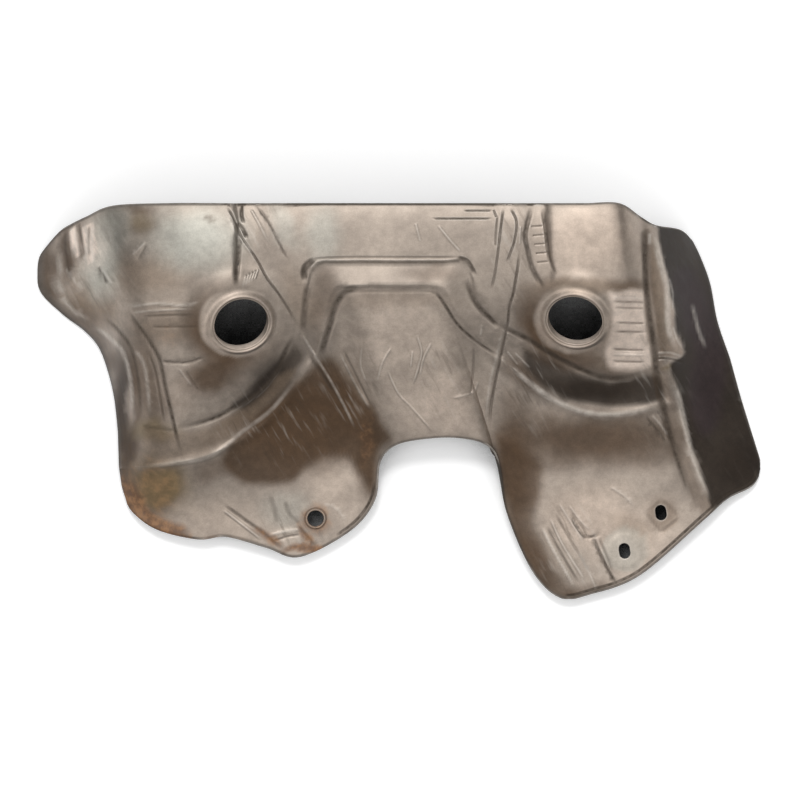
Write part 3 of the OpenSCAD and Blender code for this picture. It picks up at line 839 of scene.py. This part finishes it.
# Stains, and painted shade and highlights, by pixel of the photograph: tint, strength, middle, half width and
# height, turn in degrees
stainsAndPaintedLight = [
    # left plateau and the panel beside its port
    ("silver", 0.9, (195, 238), (52, 34), 0), ("silver", 0.7, (110, 232), (22, 34), -10),
    ("taupe", 0.55, (140, 275), (50, 22), -8), ("umber", 0.6, (136, 209), (20, 6), 0),
    ("umber", 0.4, (145, 226), (16, 12), 0), ("olive", 0.5, (142, 222), (14, 12), 0),
    ("umber", 0.5, (211, 218), (5, 3), 0),
    ("taupe", 0.55, (168, 325), (36, 22), 0), ("rust", 0.22, (166, 336), (24, 18), 0),
    ("umber", 0.85, (212, 375), (34, 18), 12), ("beige", 0.5, (182, 398), (16, 22), 0),
    # left lobe and side
    ("umber", 0.75, (46, 275), (14, 46), 0), ("umber", 0.75, (66, 222), (24, 9), 32),
    ("umber", 0.55, (67, 262), (8, 26), 0), ("taupe", 0.9, (92, 306), (30, 18), -40),
    ("umber", 0.35, (84, 312), (24, 8), -40),
    ("silver", 0.9, (100, 262), (20, 36), 0), ("chalk", 0.3, (92, 248), (20, 26), 0),
    ("umber", 0.7, (95, 345), (60, 14), -48),
    ("umber", 0.9, (125, 415), (15, 70), 0), ("umber", 0.6, (148, 385), (20, 60), 12),
    ("umber", 0.6, (124, 430), (12, 50), 0), ("olive", 0.7, (150, 430), (30, 12), 0),
    ("olive", 0.9, (158, 487), (34, 28), -15),
    ("umber", 0.5, (126, 450), (12, 40), 0), ("soot", 0.6, (123, 405), (10, 60), 0),
    ("beige", 0.4, (130, 405), (4, 22), 0),
    ("rust", 0.8, (132, 500), (13, 36), 24), ("rust", 0.85, (160, 525), (38, 10), -26),
    ("rust", 0.35, (152, 490), (36, 40), 0), ("rust", 0.4, (212, 541), (40, 6), 0),
    # left foot
    ("beige", 0.45, (215, 520), (62, 26), -6), ("beige", 0.45, (335, 488), (36, 36), 0),
    ("silver", 0.4, (285, 510), (26, 18), 0), ("umber", 0.5, (212, 470), (22, 12), 20),
    ("rust", 0.6, (268, 538), (22, 7), -32), ("rust", 0.9, (303, 549), (24, 6), 0),
    ("rust", 0.6, (305, 534), (6, 14), 30), ("rust", 0.62, (316, 517), (17, 17), 0),
    ("rust", 0.35, (366, 440), (10, 30), 0), ("umber", 0.6, (367, 455), (12, 44), 0),
    # slopes above the left foot, darkened: heat tint and painted shade
    ("soot", 0.9, (266, 386), (20, 50), -42), ("umber", 0.9, (300, 430), (66, 42), 0),
    ("soot", 0.75, (296, 410), (52, 30), 20), ("umber", 0.85, (350, 404), (20, 40), 25),
    ("umber", 0.5, (232, 425), (40, 10), 24),
    # middle
    ("silver", 0.6, (322, 235), (20, 28), 0), ("silver", 0.5, (284, 226), (12, 26), 25),
    ("rust", 0.2, (257, 232), (4, 18), 0), ("umber", 0.45, (322, 296), (13, 34), -14),
    ("umber", 0.35, (430, 272), (30, 8), 0), ("taupe", 0.35, (395, 300), (60, 10), 0),
    ("taupe", 0.4, (300, 300), (16, 40), 25), ("beige", 0.45, (455, 398), (26, 42), 0),
    ("blushAndHighlight", 0.35, (400, 335), (60, 44), 0), ("blushAndHighlight", 0.4, (430, 405), (62, 36), 0),
    ("taupe", 0.35, (345, 385), (24, 34), 20),
    # right plateau and the panel beside its port, which is lightened with painted light
    ("beige", 1, (590, 240), (58, 44), 0), ("blushAndHighlight", 0.7, (630, 325), (24, 32), 0),
    ("taupe", 0.65, (585, 287), (60, 10), 0), ("umber", 0.6, (627, 284), (20, 9), 0),
    ("umber", 0.4, (524, 303), (12, 20), 0), ("umber", 0.6, (540, 335), (30, 12), -36),
    ("umber", 0.6, (600, 365), (40, 10), -4),
    # slopes above the right foot, darkened: heat tint and painted shade
    ("soot", 0.9, (592, 388), (66, 17), 2), ("umber", 0.7, (524, 374), (26, 14), -36),
    ("umber", 0.8, (590, 438), (92, 28), 0), ("umber", 0.85, (512, 470), (24, 66), 0),
    ("umber", 0.8, (530, 560), (14, 50), 28),
    # right foot
    ("beige", 1, (590, 515), (48, 36), 0), ("beige", 0.6, (640, 535), (46, 34), 30),
    ("taupe", 0.4, (632, 528), (24, 14), -25), ("silver", 0.2, (624, 550), (20, 20), 0),
    ("umber", 0.4, (661, 513), (17, 17), 0), ("umber", 0.5, (587, 592), (30, 8), 12),
    # finely wrinkled places
    ("wrinkles", 1, (570, 545), (34, 44), 0), ("wrinkles", 0.9, (532, 385), (34, 44), 0),
    ("wrinkles", 0.9, (352, 385), (34, 40), 0), ("wrinkles", 0.8, (290, 522), (34, 26), 0),
    ("wrinkles", 0.8, (258, 222), (22, 28), 0), ("wrinkles", 0.6, (100, 270), (40, 50), 0),
    ("wrinkles", 0.6, (510, 250), (26, 50), 0), ("wrinkles", 0.6, (440, 380), (40, 50), 0),
    ("wrinkles", 0.7, (270, 425), (60, 40), 0), ("wrinkles", 0.5, (655, 370), (30, 70), 0),
    # flank, darkened with a dark tint and painted shade, and the rolled bead beside it
    ("olive", 0.7, (670, 369), (8, 4), 0), ("soot", 0.5, (740, 465), (24, 24), 0),
]

# Patches with a plain edge, with stains and painted shade and highlights among them: tint, strength, softness
# of the edge in pixels, outline
patches = [
    # painted highlights on the lobe's flutes, and painted shade between them
    ("umber", 0.6, 2, (60, 238), (68, 231), (73, 262), (66, 270), (61, 256)),
    ("umber", 0.6, 1.2, (76, 226), (80, 224), (83, 240), (83, 258), (79, 256), (78, 240)),
    ("chalk", 0.8, 1.2, (70, 229), (76, 228), (79, 252), (74, 254)),
    ("chalk", 0.65, 1.4, (82, 228), (93, 225), (94, 256), (88, 263), (84, 245)),
    # the slopes above the left foot, darkened: heat tint and painted shade
    ("umber", 0.9, 6, (300, 378), (275, 402), (248, 426), (226, 448), (224, 468), (246, 484), (289, 482),
     (306, 467), (324, 458), (346, 460), (360, 474), (370, 494), (377, 468), (380, 448), (392, 438),
     (375, 412), (350, 386), (330, 356)),
    ("soot", 0.75, 5, (292, 343), (270, 368), (246, 391), (230, 404), (250, 409), (276, 395), (298, 368),
     (305, 352)),
    # the step wall and slopes above the right foot, darkened: heat tint and painted shade
    ("soot", 0.85, 4, (520, 344), (560, 363), (603, 382), (654, 374), (660, 398), (626, 405), (590, 404),
     (556, 394), (530, 374)),
    # painted light on the ribbed panel beside the right port, which tilts away from the lamps
    ("chalk", 0.55, 3.5, (609, 292), (643, 291), (646, 320), (651, 352), (648, 367), (612, 368),
     (606, 350), (612, 322)),
    # more of the slopes above the right foot, darkened: heat tint and painted shade
    ("umber", 0.35, 9, (505, 388), (560, 416), (600, 424), (650, 418), (668, 440), (672, 458), (655, 470),
     (600, 466), (546, 470), (505, 450)),
    ("umber", 0.7, 7, (496, 434), (540, 462), (541, 484), (534, 522), (544, 542), (561, 575), (577, 594),
     (568, 602), (545, 588), (524, 556), (510, 515), (500, 470)),
    ("umber", 0.35, 6, (122, 466), (176, 466), (182, 492), (168, 510), (150, 520), (130, 506), (120, 486)),
    ("olive", 0.75, 5, (138, 474), (174, 470), (178, 490), (166, 505), (149, 509), (140, 496)),
    ("taupe", 0.5, 4, (146, 425), (174, 431), (210, 426), (258, 398), (280, 375), (296, 372), (268, 404),
     (238, 430), (208, 452), (172, 460), (138, 462)),
    # the crease and rolled bead beside the flank: darker in the crease and lighter on the bead, partly painted
    # shade and highlight
    ("umber", 0.45, 2, (640, 232), (650, 232), (656, 300), (662, 352), (668, 380), (676, 410), (688, 446),
     (700, 480), (712, 506), (702, 512), (690, 494), (676, 464), (664, 428), (656, 392), (650, 360),
     (644, 310), (642, 270)),
    ("taupe", 0.75, 2.5, (652, 236), (660, 256), (667, 280), (671, 308), (673, 330), (682, 352),
     (660, 352), (655, 310), (650, 270)),
    ("beige", 0.3, 2, (660, 256), (667, 272), (671, 300), (673, 330), (682, 350), (674, 350), (667, 330),
     (664, 290)),
    # the flank: soot and painted shade
    ("soot", 0.95, 2, (656, 218), (684, 224), (712, 240), (730, 280), (745, 350), (768, 410), (780, 470),
     (760, 500), (716, 510), (706, 488), (694, 454), (685, 420), (677, 388), (670, 366), (684, 352),
     (675, 330), (673, 308), (668, 280), (661, 254)),
    ("plum", 0.6, 7, (672, 272), (690, 268), (708, 300), (724, 350), (722, 400), (712, 430), (698, 430),
     (688, 390), (694, 350), (682, 320)),
    ("silver", 0.35, 1.5, (624, 527), (640, 533), (646, 549), (641, 565), (626, 572), (609, 566),
     (602, 551), (608, 534)),
    ("taupe", 0.3, 1.5, (645, 512), (662, 533), (679, 517), (662, 499)),
]


# How far the stains wander, in millimetres, and where grime and painted shade, wear and painted highlights, and
# soot and painted shade gather
ageingAndPaintedLight = {
    "seed": 9,
    "waves": (5, 7, 9, 12, 16, 22, 30),
    "waveShare": 0.028,
    "patchWander": 0.35,            # patches wander this much of what the stains do
    "shadeRingShift": (2.2, 0),          # painted shade outside each port, a dark crescent off its middle
    "shadeRingSize": (19.5, 18),
    "shadeRingSide": (-0.75, -0.66),
    "hollow": (0.02, 0.3),          # dips and bulges from where they show to where they show in full
    "bulge": (0.03, 0.3),
    "lipGroove": (15.6, 15.95, 16.4),
    "shadedSide": (0.3, -0.954, 0),   # steep faces that look this way, away from the key lamp, are darkened as painted shade
    "sootRim": (0.4, 2.2),
    "hemShows": [(-33, 0, -48), (92, math.inf, -38)],   # the hem shows between two x, below a y
    "rimBand": 10,
}


def hollowness(place, normal, ends):
    # how much each point lies below its neighbours, in one over millimetres
    one, other = ends.T
    step = place[other] - place[one]
    step /= (step ** 2).sum(1)[:, None]
    dip = (np.bincount(one, (step * normal[one]).sum(1), len(place))
           - np.bincount(other, (step * normal[other]).sum(1), len(place)))
    return dip / np.bincount(ends.ravel(), minlength=len(place))


def rimTree():
    # the sheet's outline, to look up the nearest place on it
    s, r = np.linspace(0, lastSection, 3000), np.linspace(0, 3, 1200)
    none, line = np.zeros(len(s)), np.zeros(len(r))
    sides = (s, none), (s, none + 3), (line, r), (line + lastSection, r)
    edge = np.concatenate([planPlace(*rounded(*side)) for side in sides])
    tree = KDTree(len(edge))
    for k, (x, y) in enumerate(edge):
        tree.insert((x, y, 0), k)
    tree.balance()
    return tree


def inOutline(place, a):
    # whether each place lies inside the closed line a
    b = np.roll(a, -1, 0)
    x, y = place[:, None, 0], place[:, None, 1]
    rise = b[:, 1] - a[:, 1]
    at = a[:, 0] + (y - a[:, 1]) * (b[:, 0] - a[:, 0]) / np.where(rise, rise, 1)
    return (((a[:, 1] > y) != (b[:, 1] > y)) & (x < at)).sum(1) % 2 == 1


def patchShare(plan, soft, outline):
    # one inside a patch and nothing outside it, with an edge as soft as asked
    wide = soft * photo["pixel"]
    ring = [*outline, outline[0]]
    near = nearLine(plan, outline, 2 * wide)
    share = np.zeros(len(plan))
    if len(near):
        far = alongStroke(plan[near], ring)[0]
        inside = inOutline(plan[near], smoothLine(ring))
        share[near] = 1 - ramp(-wide, wide, np.where(inside, -far, far))
    return share


def stainAndLightMasks(plan):
    # the colour and bareness at each point, with painted shade and highlights among the stains, and how rusty
    # and how wrinkled it is
    rng = np.random.default_rng(ageingAndPaintedLight["seed"])
    warped = plan.copy()
    for wave in ageingAndPaintedLight["waves"]:
        for axis in (0, 1):
            warped[:, axis] += ageingAndPaintedLight["waveShare"] * ripple(rng, plan, wave)
    tone = np.tile(tints["steel"], (len(plan), 1))
    masks = {"rust": np.zeros(len(plan)), "wrinkles": np.zeros(len(plan))}
    for tint, strength, middle, (wide, high), turn in stainsAndPaintedLight:
        off = (warped - fromPhoto(middle)) / photo["pixel"]
        c, s = math.cos(math.radians(turn)), math.sin(math.radians(turn))
        far = np.hypot((off[:, 0] * c + off[:, 1] * s) / wide, (off[:, 1] * c - off[:, 0] * s) / high)
        w = strength * (1 - ramp(0.3, 1.4, far))
        if tint in masks:
            masks[tint] = np.maximum(masks[tint], w)
        else:
            tone = mix(tone, np.array(tints[tint]), w[:, None])
    little = mix(plan, warped, ageingAndPaintedLight["patchWander"])
    for tint, strength, soft, *outline in patches:
        tone = mix(tone, np.array(tints[tint]), strength * patchShare(little, soft, outline)[:, None])
    # painted shade round each port's lip, darker on its lower left, and a painted highlight that lightens the
    # lip
    for name in ports:
        off = little - holes[name]["middle"][:2] + ageingAndPaintedLight["shadeRingShift"]
        reach = np.hypot(*(off / ageingAndPaintedLight["shadeRingSize"]).T)
        side = np.clip(0.5 + off @ ageingAndPaintedLight["shadeRingSide"] / np.linalg.norm(off, axis=1) * 0.6, 0, 1)
        shade = side * ramp(0.97, 1.12, reach) * (1 - ramp(1.15, 1.75, reach))
        tone = mix(tone, np.array(tints["umber"]), 0.85 * shade[:, None])
        tone = mix(tone, np.array(tints["blushAndHighlight"]), 0.3 * (1 - ramp(0.9, 1.12, reach))[:, None])
    return tone, masks["rust"], masks["wrinkles"]


def paint(mesh, name, values):
    layer = mesh.color_attributes.new(name, "FLOAT_COLOR", "POINT")
    layer.data.foreach_set("color", values.astype(np.float32).ravel())


def meshArrays(mesh):
    place, normal = np.empty((2, len(mesh.vertices), 3))
    ends = np.empty((len(mesh.edges), 2), int)
    for item, key, values in ((mesh.vertices, "co", place), (mesh.vertices, "normal", normal),
                              (mesh.edges, "vertices", ends)):
        flat = values.ravel()
        item.foreach_get(key, flat)
        values[:] = flat.reshape(values.shape)
    return place / mm + sheet["origin"], normal, ends


def paintShield(mesh):
    place, normal, ends = meshArrays(mesh)
    plan = place[:, :2]
    tree = rimTree()
    nearest = [tree.find((x, y, 0)) for x, y in plan]
    rim = np.array([n[2] for n in nearest])
    at = np.array([n[0][:2] for n in nearest])
    tone, rust, wrinkles = stainAndLightMasks(plan)
    under = 1 - ramp(-0.3, 0.1, normal[:, 2])
    dip = blur(hollowness(place, normal, ends), ends, 1)
    groove, ridge = creased(plan)
    # the groove in each port's lip is darkened with the grooves' painted shade
    inner, deepest, outer = ageingAndPaintedLight["lipGroove"]
    for name in ports:
        reach = holeReach(holes[name], inHole(holes[name], place))[0]
        dip *= ramp(22, 26, reach)
        groove *= ramp(21, 25, reach)
        lip = ramp(inner, deepest, reach) * (1 - ramp(deepest, outer, reach))
        groove = np.maximum(groove, 0.8 * lip)
    # painted shade with grime darkens the hollows and grooves; painted highlight with wear lightens the bulges
    # and ridges
    grimeAndShade = np.maximum(0.8 * ramp(*ageingAndPaintedLight["hollow"], dip), groove * (1 - under))
    wearAndHighlight = np.maximum(0.8 * ramp(*ageingAndPaintedLight["bulge"], -dip), ridge * (1 - under))
    # painted shade on steep faces turned away from the key lamp, and soot along the rim
    facing = normal @ ageingAndPaintedLight["shadedSide"]
    soot = np.maximum(0.7 * ramp(0.62, 0.95, facing), 0.9 * (1 - ramp(*ageingAndPaintedLight["sootRim"], rim))) * (1 - under)
    hemmed = np.any([(at[:, 0] > a) & (at[:, 0] < b) & (at[:, 1] < low) for a, b, low in ageingAndPaintedLight["hemShows"]], 0)
    tone = mix(tone, np.array(tints["under"]), under[:, None])
    band = np.minimum(rim / ageingAndPaintedLight["rimBand"], 1)
    paint(mesh, "tone", tone)
    paint(mesh, "marks", np.column_stack([grimeAndShade, wearAndHighlight, rust * (1 - 0.6 * under), soot]))
    paint(mesh, "rim", np.column_stack([band, hemmed * (1 - under), wrinkles, np.ones(len(rim))]))
    print("painted", len(place), "grimeAndShade", grimeAndShade.mean().round(3), "wearAndHighlight", wearAndHighlight.mean().round(3))


# The lamps, the floor and the camera, in metres
light = {
    "keyPower": 0.85,
    "keyTilt": 21,        # degrees off straight down, towards the top of the picture
    "keySwing": 6,        # degrees towards the left
    "keyWide": 10,        # how wide the lamp looks, in degrees
    "room": 0.12,
    "floorGlow": 0.22,
    "paintedShadowReach": 0.15,    # how far round a spot of the floor is looked at for open space, for its painted shadow
    "paintedShadowFrom": 0.27,     # up to this open share the floor is painted black as shadow, and past the next it is plain
    "paintedShadowTo": 0.52,
    "boxSize": 3.0,
    "boxHeight": 1.6,
    "boxPower": 36,
    "boxShift": (-0.1, -0.25),
    "eyeHigh": 1.2,
    "backdropLow": -0.4,
}
floorColour = (0.97, 0.97, 0.97)


def plainMaterial(name, colour, rough):
    material = bpy.data.materials.new(name)
    material.use_nodes = True
    shader = material.node_tree.nodes["Principled BSDF"]
    shader.inputs["Base Color"].default_value = (*colour, 1)
    shader.inputs["Roughness"].default_value = rough
    return material


# The sheet's finish: the scales of its noises, its colours and its gloss
finish = {
    "cloud": 38.0,
    "fleck": 230.0,
    "grain": 1400.0,
    "crumple": 110.0,
    "streak": 260.0,
    "streakDown": (0.09, -0.155, 0),    # along the fine wrinkles, where the noise is drawn out
    "streakAcross": (0.86, 0.5, 0),
    "soot": (0.036, 0.029, 0.023, 1),
    "grimeAndShade": (0.045, 0.034, 0.025, 1),
    "highlightAndWearColour": (0.78, 0.72, 0.65, 1),
    "rustDark": (0.13, 0.058, 0.026, 1),
    "rustLight": (0.32, 0.165, 0.075, 1),
    "specular": 0.2,
    "metal": 0.75,
    "rough": (0.62, 0.46),              # dirty, and bare
    "bump": 0.5,
    "bumpDeep": 0.0006,
}


def shieldMaterial():
    material = plainMaterial("shieldSteel", (0.45, 0.42, 0.38), 0.42)
    tree = material.node_tree
    shader = tree.nodes["Principled BSDF"]

    def feed(socket, value):
        if isinstance(value, bpy.types.NodeSocket):
            tree.links.new(value, socket)
        else:
            socket.default_value = value

    def node(kind, inputs=(), **settings):
        made = tree.nodes.new("ShaderNode" + kind)
        for key, value in settings.items():
            setattr(made, key, value)
        for key, value in dict(inputs).items():
            feed(made.inputs[key], value)
        return made

    def noise(scale, detail, place=None):
        inputs = {"Vector": place or spot, "Scale": scale, "Detail": detail, "Roughness": 0.6}
        return node("TexNoise", inputs).outputs["Fac"]

    def along(way):
        return node("VectorMath", {0: spot, 1: way}, operation="DOT_PRODUCT").outputs["Value"]

    def calc(operation, one, other, clamp=False):
        return node("Math", {0: one, 1: other}, operation=operation, use_clamp=clamp).outputs[0]

    def span(value, low, high, newLow=0.0, newHigh=1.0):
        inputs = {"Value": value, "From Min": low, "From Max": high, "To Min": newLow, "To Max": newHigh}
        return node("MapRange", inputs, interpolation_type="SMOOTHSTEP").outputs[0]

    def blend(share, one, other):
        return node("Mix", {0: share, 6: one, 7: other}, data_type="RGBA").outputs[2]

    spot = node("TexCoord").outputs["Object"]
    tone = node("Attribute", attribute_name="tone").outputs
    marks = node("Attribute", attribute_name="marks").outputs
    parts = node("SeparateColor", {0: marks["Color"]}).outputs
    edge = node("SeparateColor", {0: node("Attribute", attribute_name="rim").outputs["Color"]}).outputs
    cloud, fleck = noise(finish["cloud"], 6.0), noise(finish["fleck"], 6.0)
    grain = noise(finish["grain"], 3.0)
    wander = span(fleck, 0.3, 0.7, 0.55, 1.1)
    shade = calc("MULTIPLY", span(cloud, 0.3, 0.7, 0.84, 1.14), span(fleck, 0.33, 0.67, 0.91, 1.08))
    shade = calc("MULTIPLY", shade, span(grain, 0.33, 0.67, 0.94, 1.05))
    drawn = node("CombineXYZ", {0: along(finish["streakDown"]), 1: along(finish["streakAcross"])}).outputs[0]
    streak = noise(finish["streak"], 2.0, drawn)
    creasy = calc("ADD", calc("MULTIPLY", edge[2], 0.8), 0.03)
    colour = node("VectorMath", {0: tone["Color"], "Scale": shade}, operation="SCALE").outputs[0]
    # soot along the rim, and painted shade on steep faces turned from the key lamp
    soot = calc("MULTIPLY", marks["Alpha"], span(cloud, 0.3, 0.7, 0.85, 1.1), True)
    colour = blend(soot, colour, finish["soot"])
    fold = calc("MULTIPLY", span(edge[0], 0.15, 0.21), span(edge[0], 0.27, 0.36, 1, 0))
    fold = calc("MULTIPLY", fold, edge[1])
    # grime and painted shade: the hollows and grooves, the hem's fold, and dark streaks along the fine wrinkles
    grimeAndShade = calc("MULTIPLY", calc("MAXIMUM", parts[0], fold), wander, True)
    grimeAndShade = calc("MAXIMUM", grimeAndShade, calc("MULTIPLY", span(streak, 0.45, 0.3), calc("MULTIPLY", creasy, 0.55)))
    colour = blend(calc("MULTIPLY", grimeAndShade, 0.85), colour, finish["grimeAndShade"])
    # wear and painted highlights: the bulges and ridges, and bright streaks along the fine wrinkles
    wearAndHighlight = calc("MULTIPLY", parts[1], wander, True)
    wearAndHighlight = calc("MAXIMUM", wearAndHighlight, calc("MULTIPLY", span(streak, 0.53, 0.78), calc("MULTIPLY", creasy, 0.7)))
    colour = blend(calc("MULTIPLY", wearAndHighlight, 0.45), colour, finish["highlightAndWearColour"])
    rust = calc("ADD", parts[2], calc("MULTIPLY", calc("SUBTRACT", fleck, 0.5), 0.6))
    rust = calc("MULTIPLY", span(rust, 0.05, 0.95), span(parts[2], 0.02, 0.3))
    rustColour = blend(span(fleck, 0.35, 0.65), finish["rustDark"], finish["rustLight"])
    colour = blend(calc("MULTIPLY", rust, 0.85), colour, rustColour)
    feed(shader.inputs["Base Color"], colour)
    shader.inputs["Specular IOR Level"].default_value = finish["specular"]
    hidden = calc("MAXIMUM", rust, calc("MULTIPLY", soot, 0.6))
    bare = calc("MULTIPLY", tone["Alpha"], calc("SUBTRACT", 1, hidden))
    feed(shader.inputs["Metallic"], calc("MULTIPLY", bare, finish["metal"], True))
    uneven = calc("MULTIPLY", calc("SUBTRACT", fleck, 0.5), 0.22)
    dull = calc("ADD", span(bare, 0, 1, *finish["rough"]), uneven)
    feed(shader.inputs["Roughness"], calc("ADD", dull, calc("MULTIPLY", grimeAndShade, 0.15), True))
    high = calc("ADD", calc("MULTIPLY", noise(finish["crumple"], 4.0), 0.5), calc("MULTIPLY", grain, 0.03))
    high = calc("ADD", high, calc("MULTIPLY", streak, creasy))
    high = calc("SUBTRACT", high, calc("MULTIPLY", fold, 0.9))
    bump = node("Bump", {"Height": high, "Strength": finish["bump"], "Distance": finish["bumpDeep"]})
    feed(shader.inputs["Normal"], bump.outputs[0])
    return material


def glowToEye(material, *factors):
    # lights a material up for rays from the camera, off metal and through glass, and for no others
    add, link = material.node_tree.nodes.new, material.node_tree.links.new
    ray = add("ShaderNodeLightPath").outputs
    total = ray["Is Camera Ray"]
    steps = [("MAXIMUM", ray["Is Glossy Ray"]), ("MAXIMUM", ray["Is Transmission Ray"])]
    for operation, other in steps + [("MULTIPLY", f) for f in factors]:
        made = add("ShaderNodeMath")
        made.operation = operation
        link(total, made.inputs[0])
        if isinstance(other, bpy.types.NodeSocket):
            link(other, made.inputs[1])
        else:
            made.inputs[1].default_value = other
        total = made.outputs[0]
    shader = material.node_tree.nodes["Principled BSDF"]
    shader.inputs["Emission Color"].default_value = (1, 1, 1, 1)
    link(total, shader.inputs["Emission Strength"])
    return material


def floorMaterial():
    # a pale floor, white to look at, with a painted shadow: its colour and glow go black where the shield
    # closes round it
    material = plainMaterial("paleFloor", floorColour, 0.8)
    add, link = material.node_tree.nodes.new, material.node_tree.links.new
    shader = material.node_tree.nodes["Principled BSDF"]
    shut = add("ShaderNodeAmbientOcclusion")
    shut.inputs["Distance"].default_value = light["paintedShadowReach"]
    clear = add("ShaderNodeMapRange")
    clear.inputs["From Min"].default_value = light["paintedShadowFrom"]
    clear.inputs["From Max"].default_value = light["paintedShadowTo"]
    link(shut.outputs["AO"], clear.inputs["Value"])
    colour = add("ShaderNodeMix")
    colour.data_type = "RGBA"
    colour.inputs[6].default_value = (0, 0, 0, 1)
    colour.inputs[7].default_value = (*floorColour, 1)
    link(clear.outputs[0], colour.inputs[0])
    link(colour.outputs[2], shader.inputs["Base Color"])
    return glowToEye(material, light["floorGlow"], clear.outputs[0])


def buildStage():
    # the backdrop lies below the floor, where a low camera's rays that start under the floor meet it
    backdrop = glowToEye(plainMaterial("whiteBackdrop", floorColour, 0.8), 1)
    for name, low, material in (("floor", 0, floorMaterial()), ("backdrop", light["backdropLow"], backdrop)):
        bm = bmesh.new()
        bmesh.ops.create_grid(bm, x_segments=2, y_segments=2, size=4, matrix=Matrix.Translation((0, 0, low)))
        mesh = bpy.data.meshes.new(name)
        bm.to_mesh(mesh)
        mesh.materials.append(material)
        addObject(name, mesh)
    print("floor laid")


def lightStage():
    sun = bpy.data.lights.new("key", "SUN")
    sun.energy = light["keyPower"]
    sun.angle = math.radians(light["keyWide"])
    tilt, swing = math.radians(light["keyTilt"]), math.radians(light["keySwing"])
    aim = Vector((math.sin(swing) * math.sin(tilt), -math.cos(swing) * math.sin(tilt), -math.cos(tilt)))
    addObject("key", sun, -aim).rotation_euler = aim.to_track_quat("-Z", "Y").to_euler()
    softbox = bpy.data.lights.new("softbox", "AREA")
    softbox.size = light["boxSize"]
    softbox.energy = light["boxPower"]
    addObject("softbox", softbox, (*light["boxShift"], light["boxHeight"]))
    world = bpy.data.worlds.new("room")
    world.use_nodes = True
    background = world.node_tree.nodes["Background"]
    background.inputs["Color"].default_value = (1, 1, 1, 1)
    background.inputs["Strength"].default_value = light["room"]
    bpy.context.scene.world = world
    bpy.context.scene.view_settings.view_transform = "Standard"


def aimCamera():
    # straight down, as wide as the photograph and square to it
    eye = bpy.data.cameras.new("eye")
    eye.type = "ORTHO"
    eye.ortho_scale = 2 * (photo["middle"] + 0.5) * photo["pixel"] * mm
    x, y, z = sheet["origin"]
    bpy.context.scene.camera = addObject("eye", eye, (-x * mm, -y * mm, light["eyeHigh"]))
    print("lamps and camera placed")


piece = buildShield()
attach(piece, "root")
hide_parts("heat_shield")
paintShield(piece.data)
piece.data.materials.append(shieldMaterial())
buildStage()
lightStage()
aimCamera()
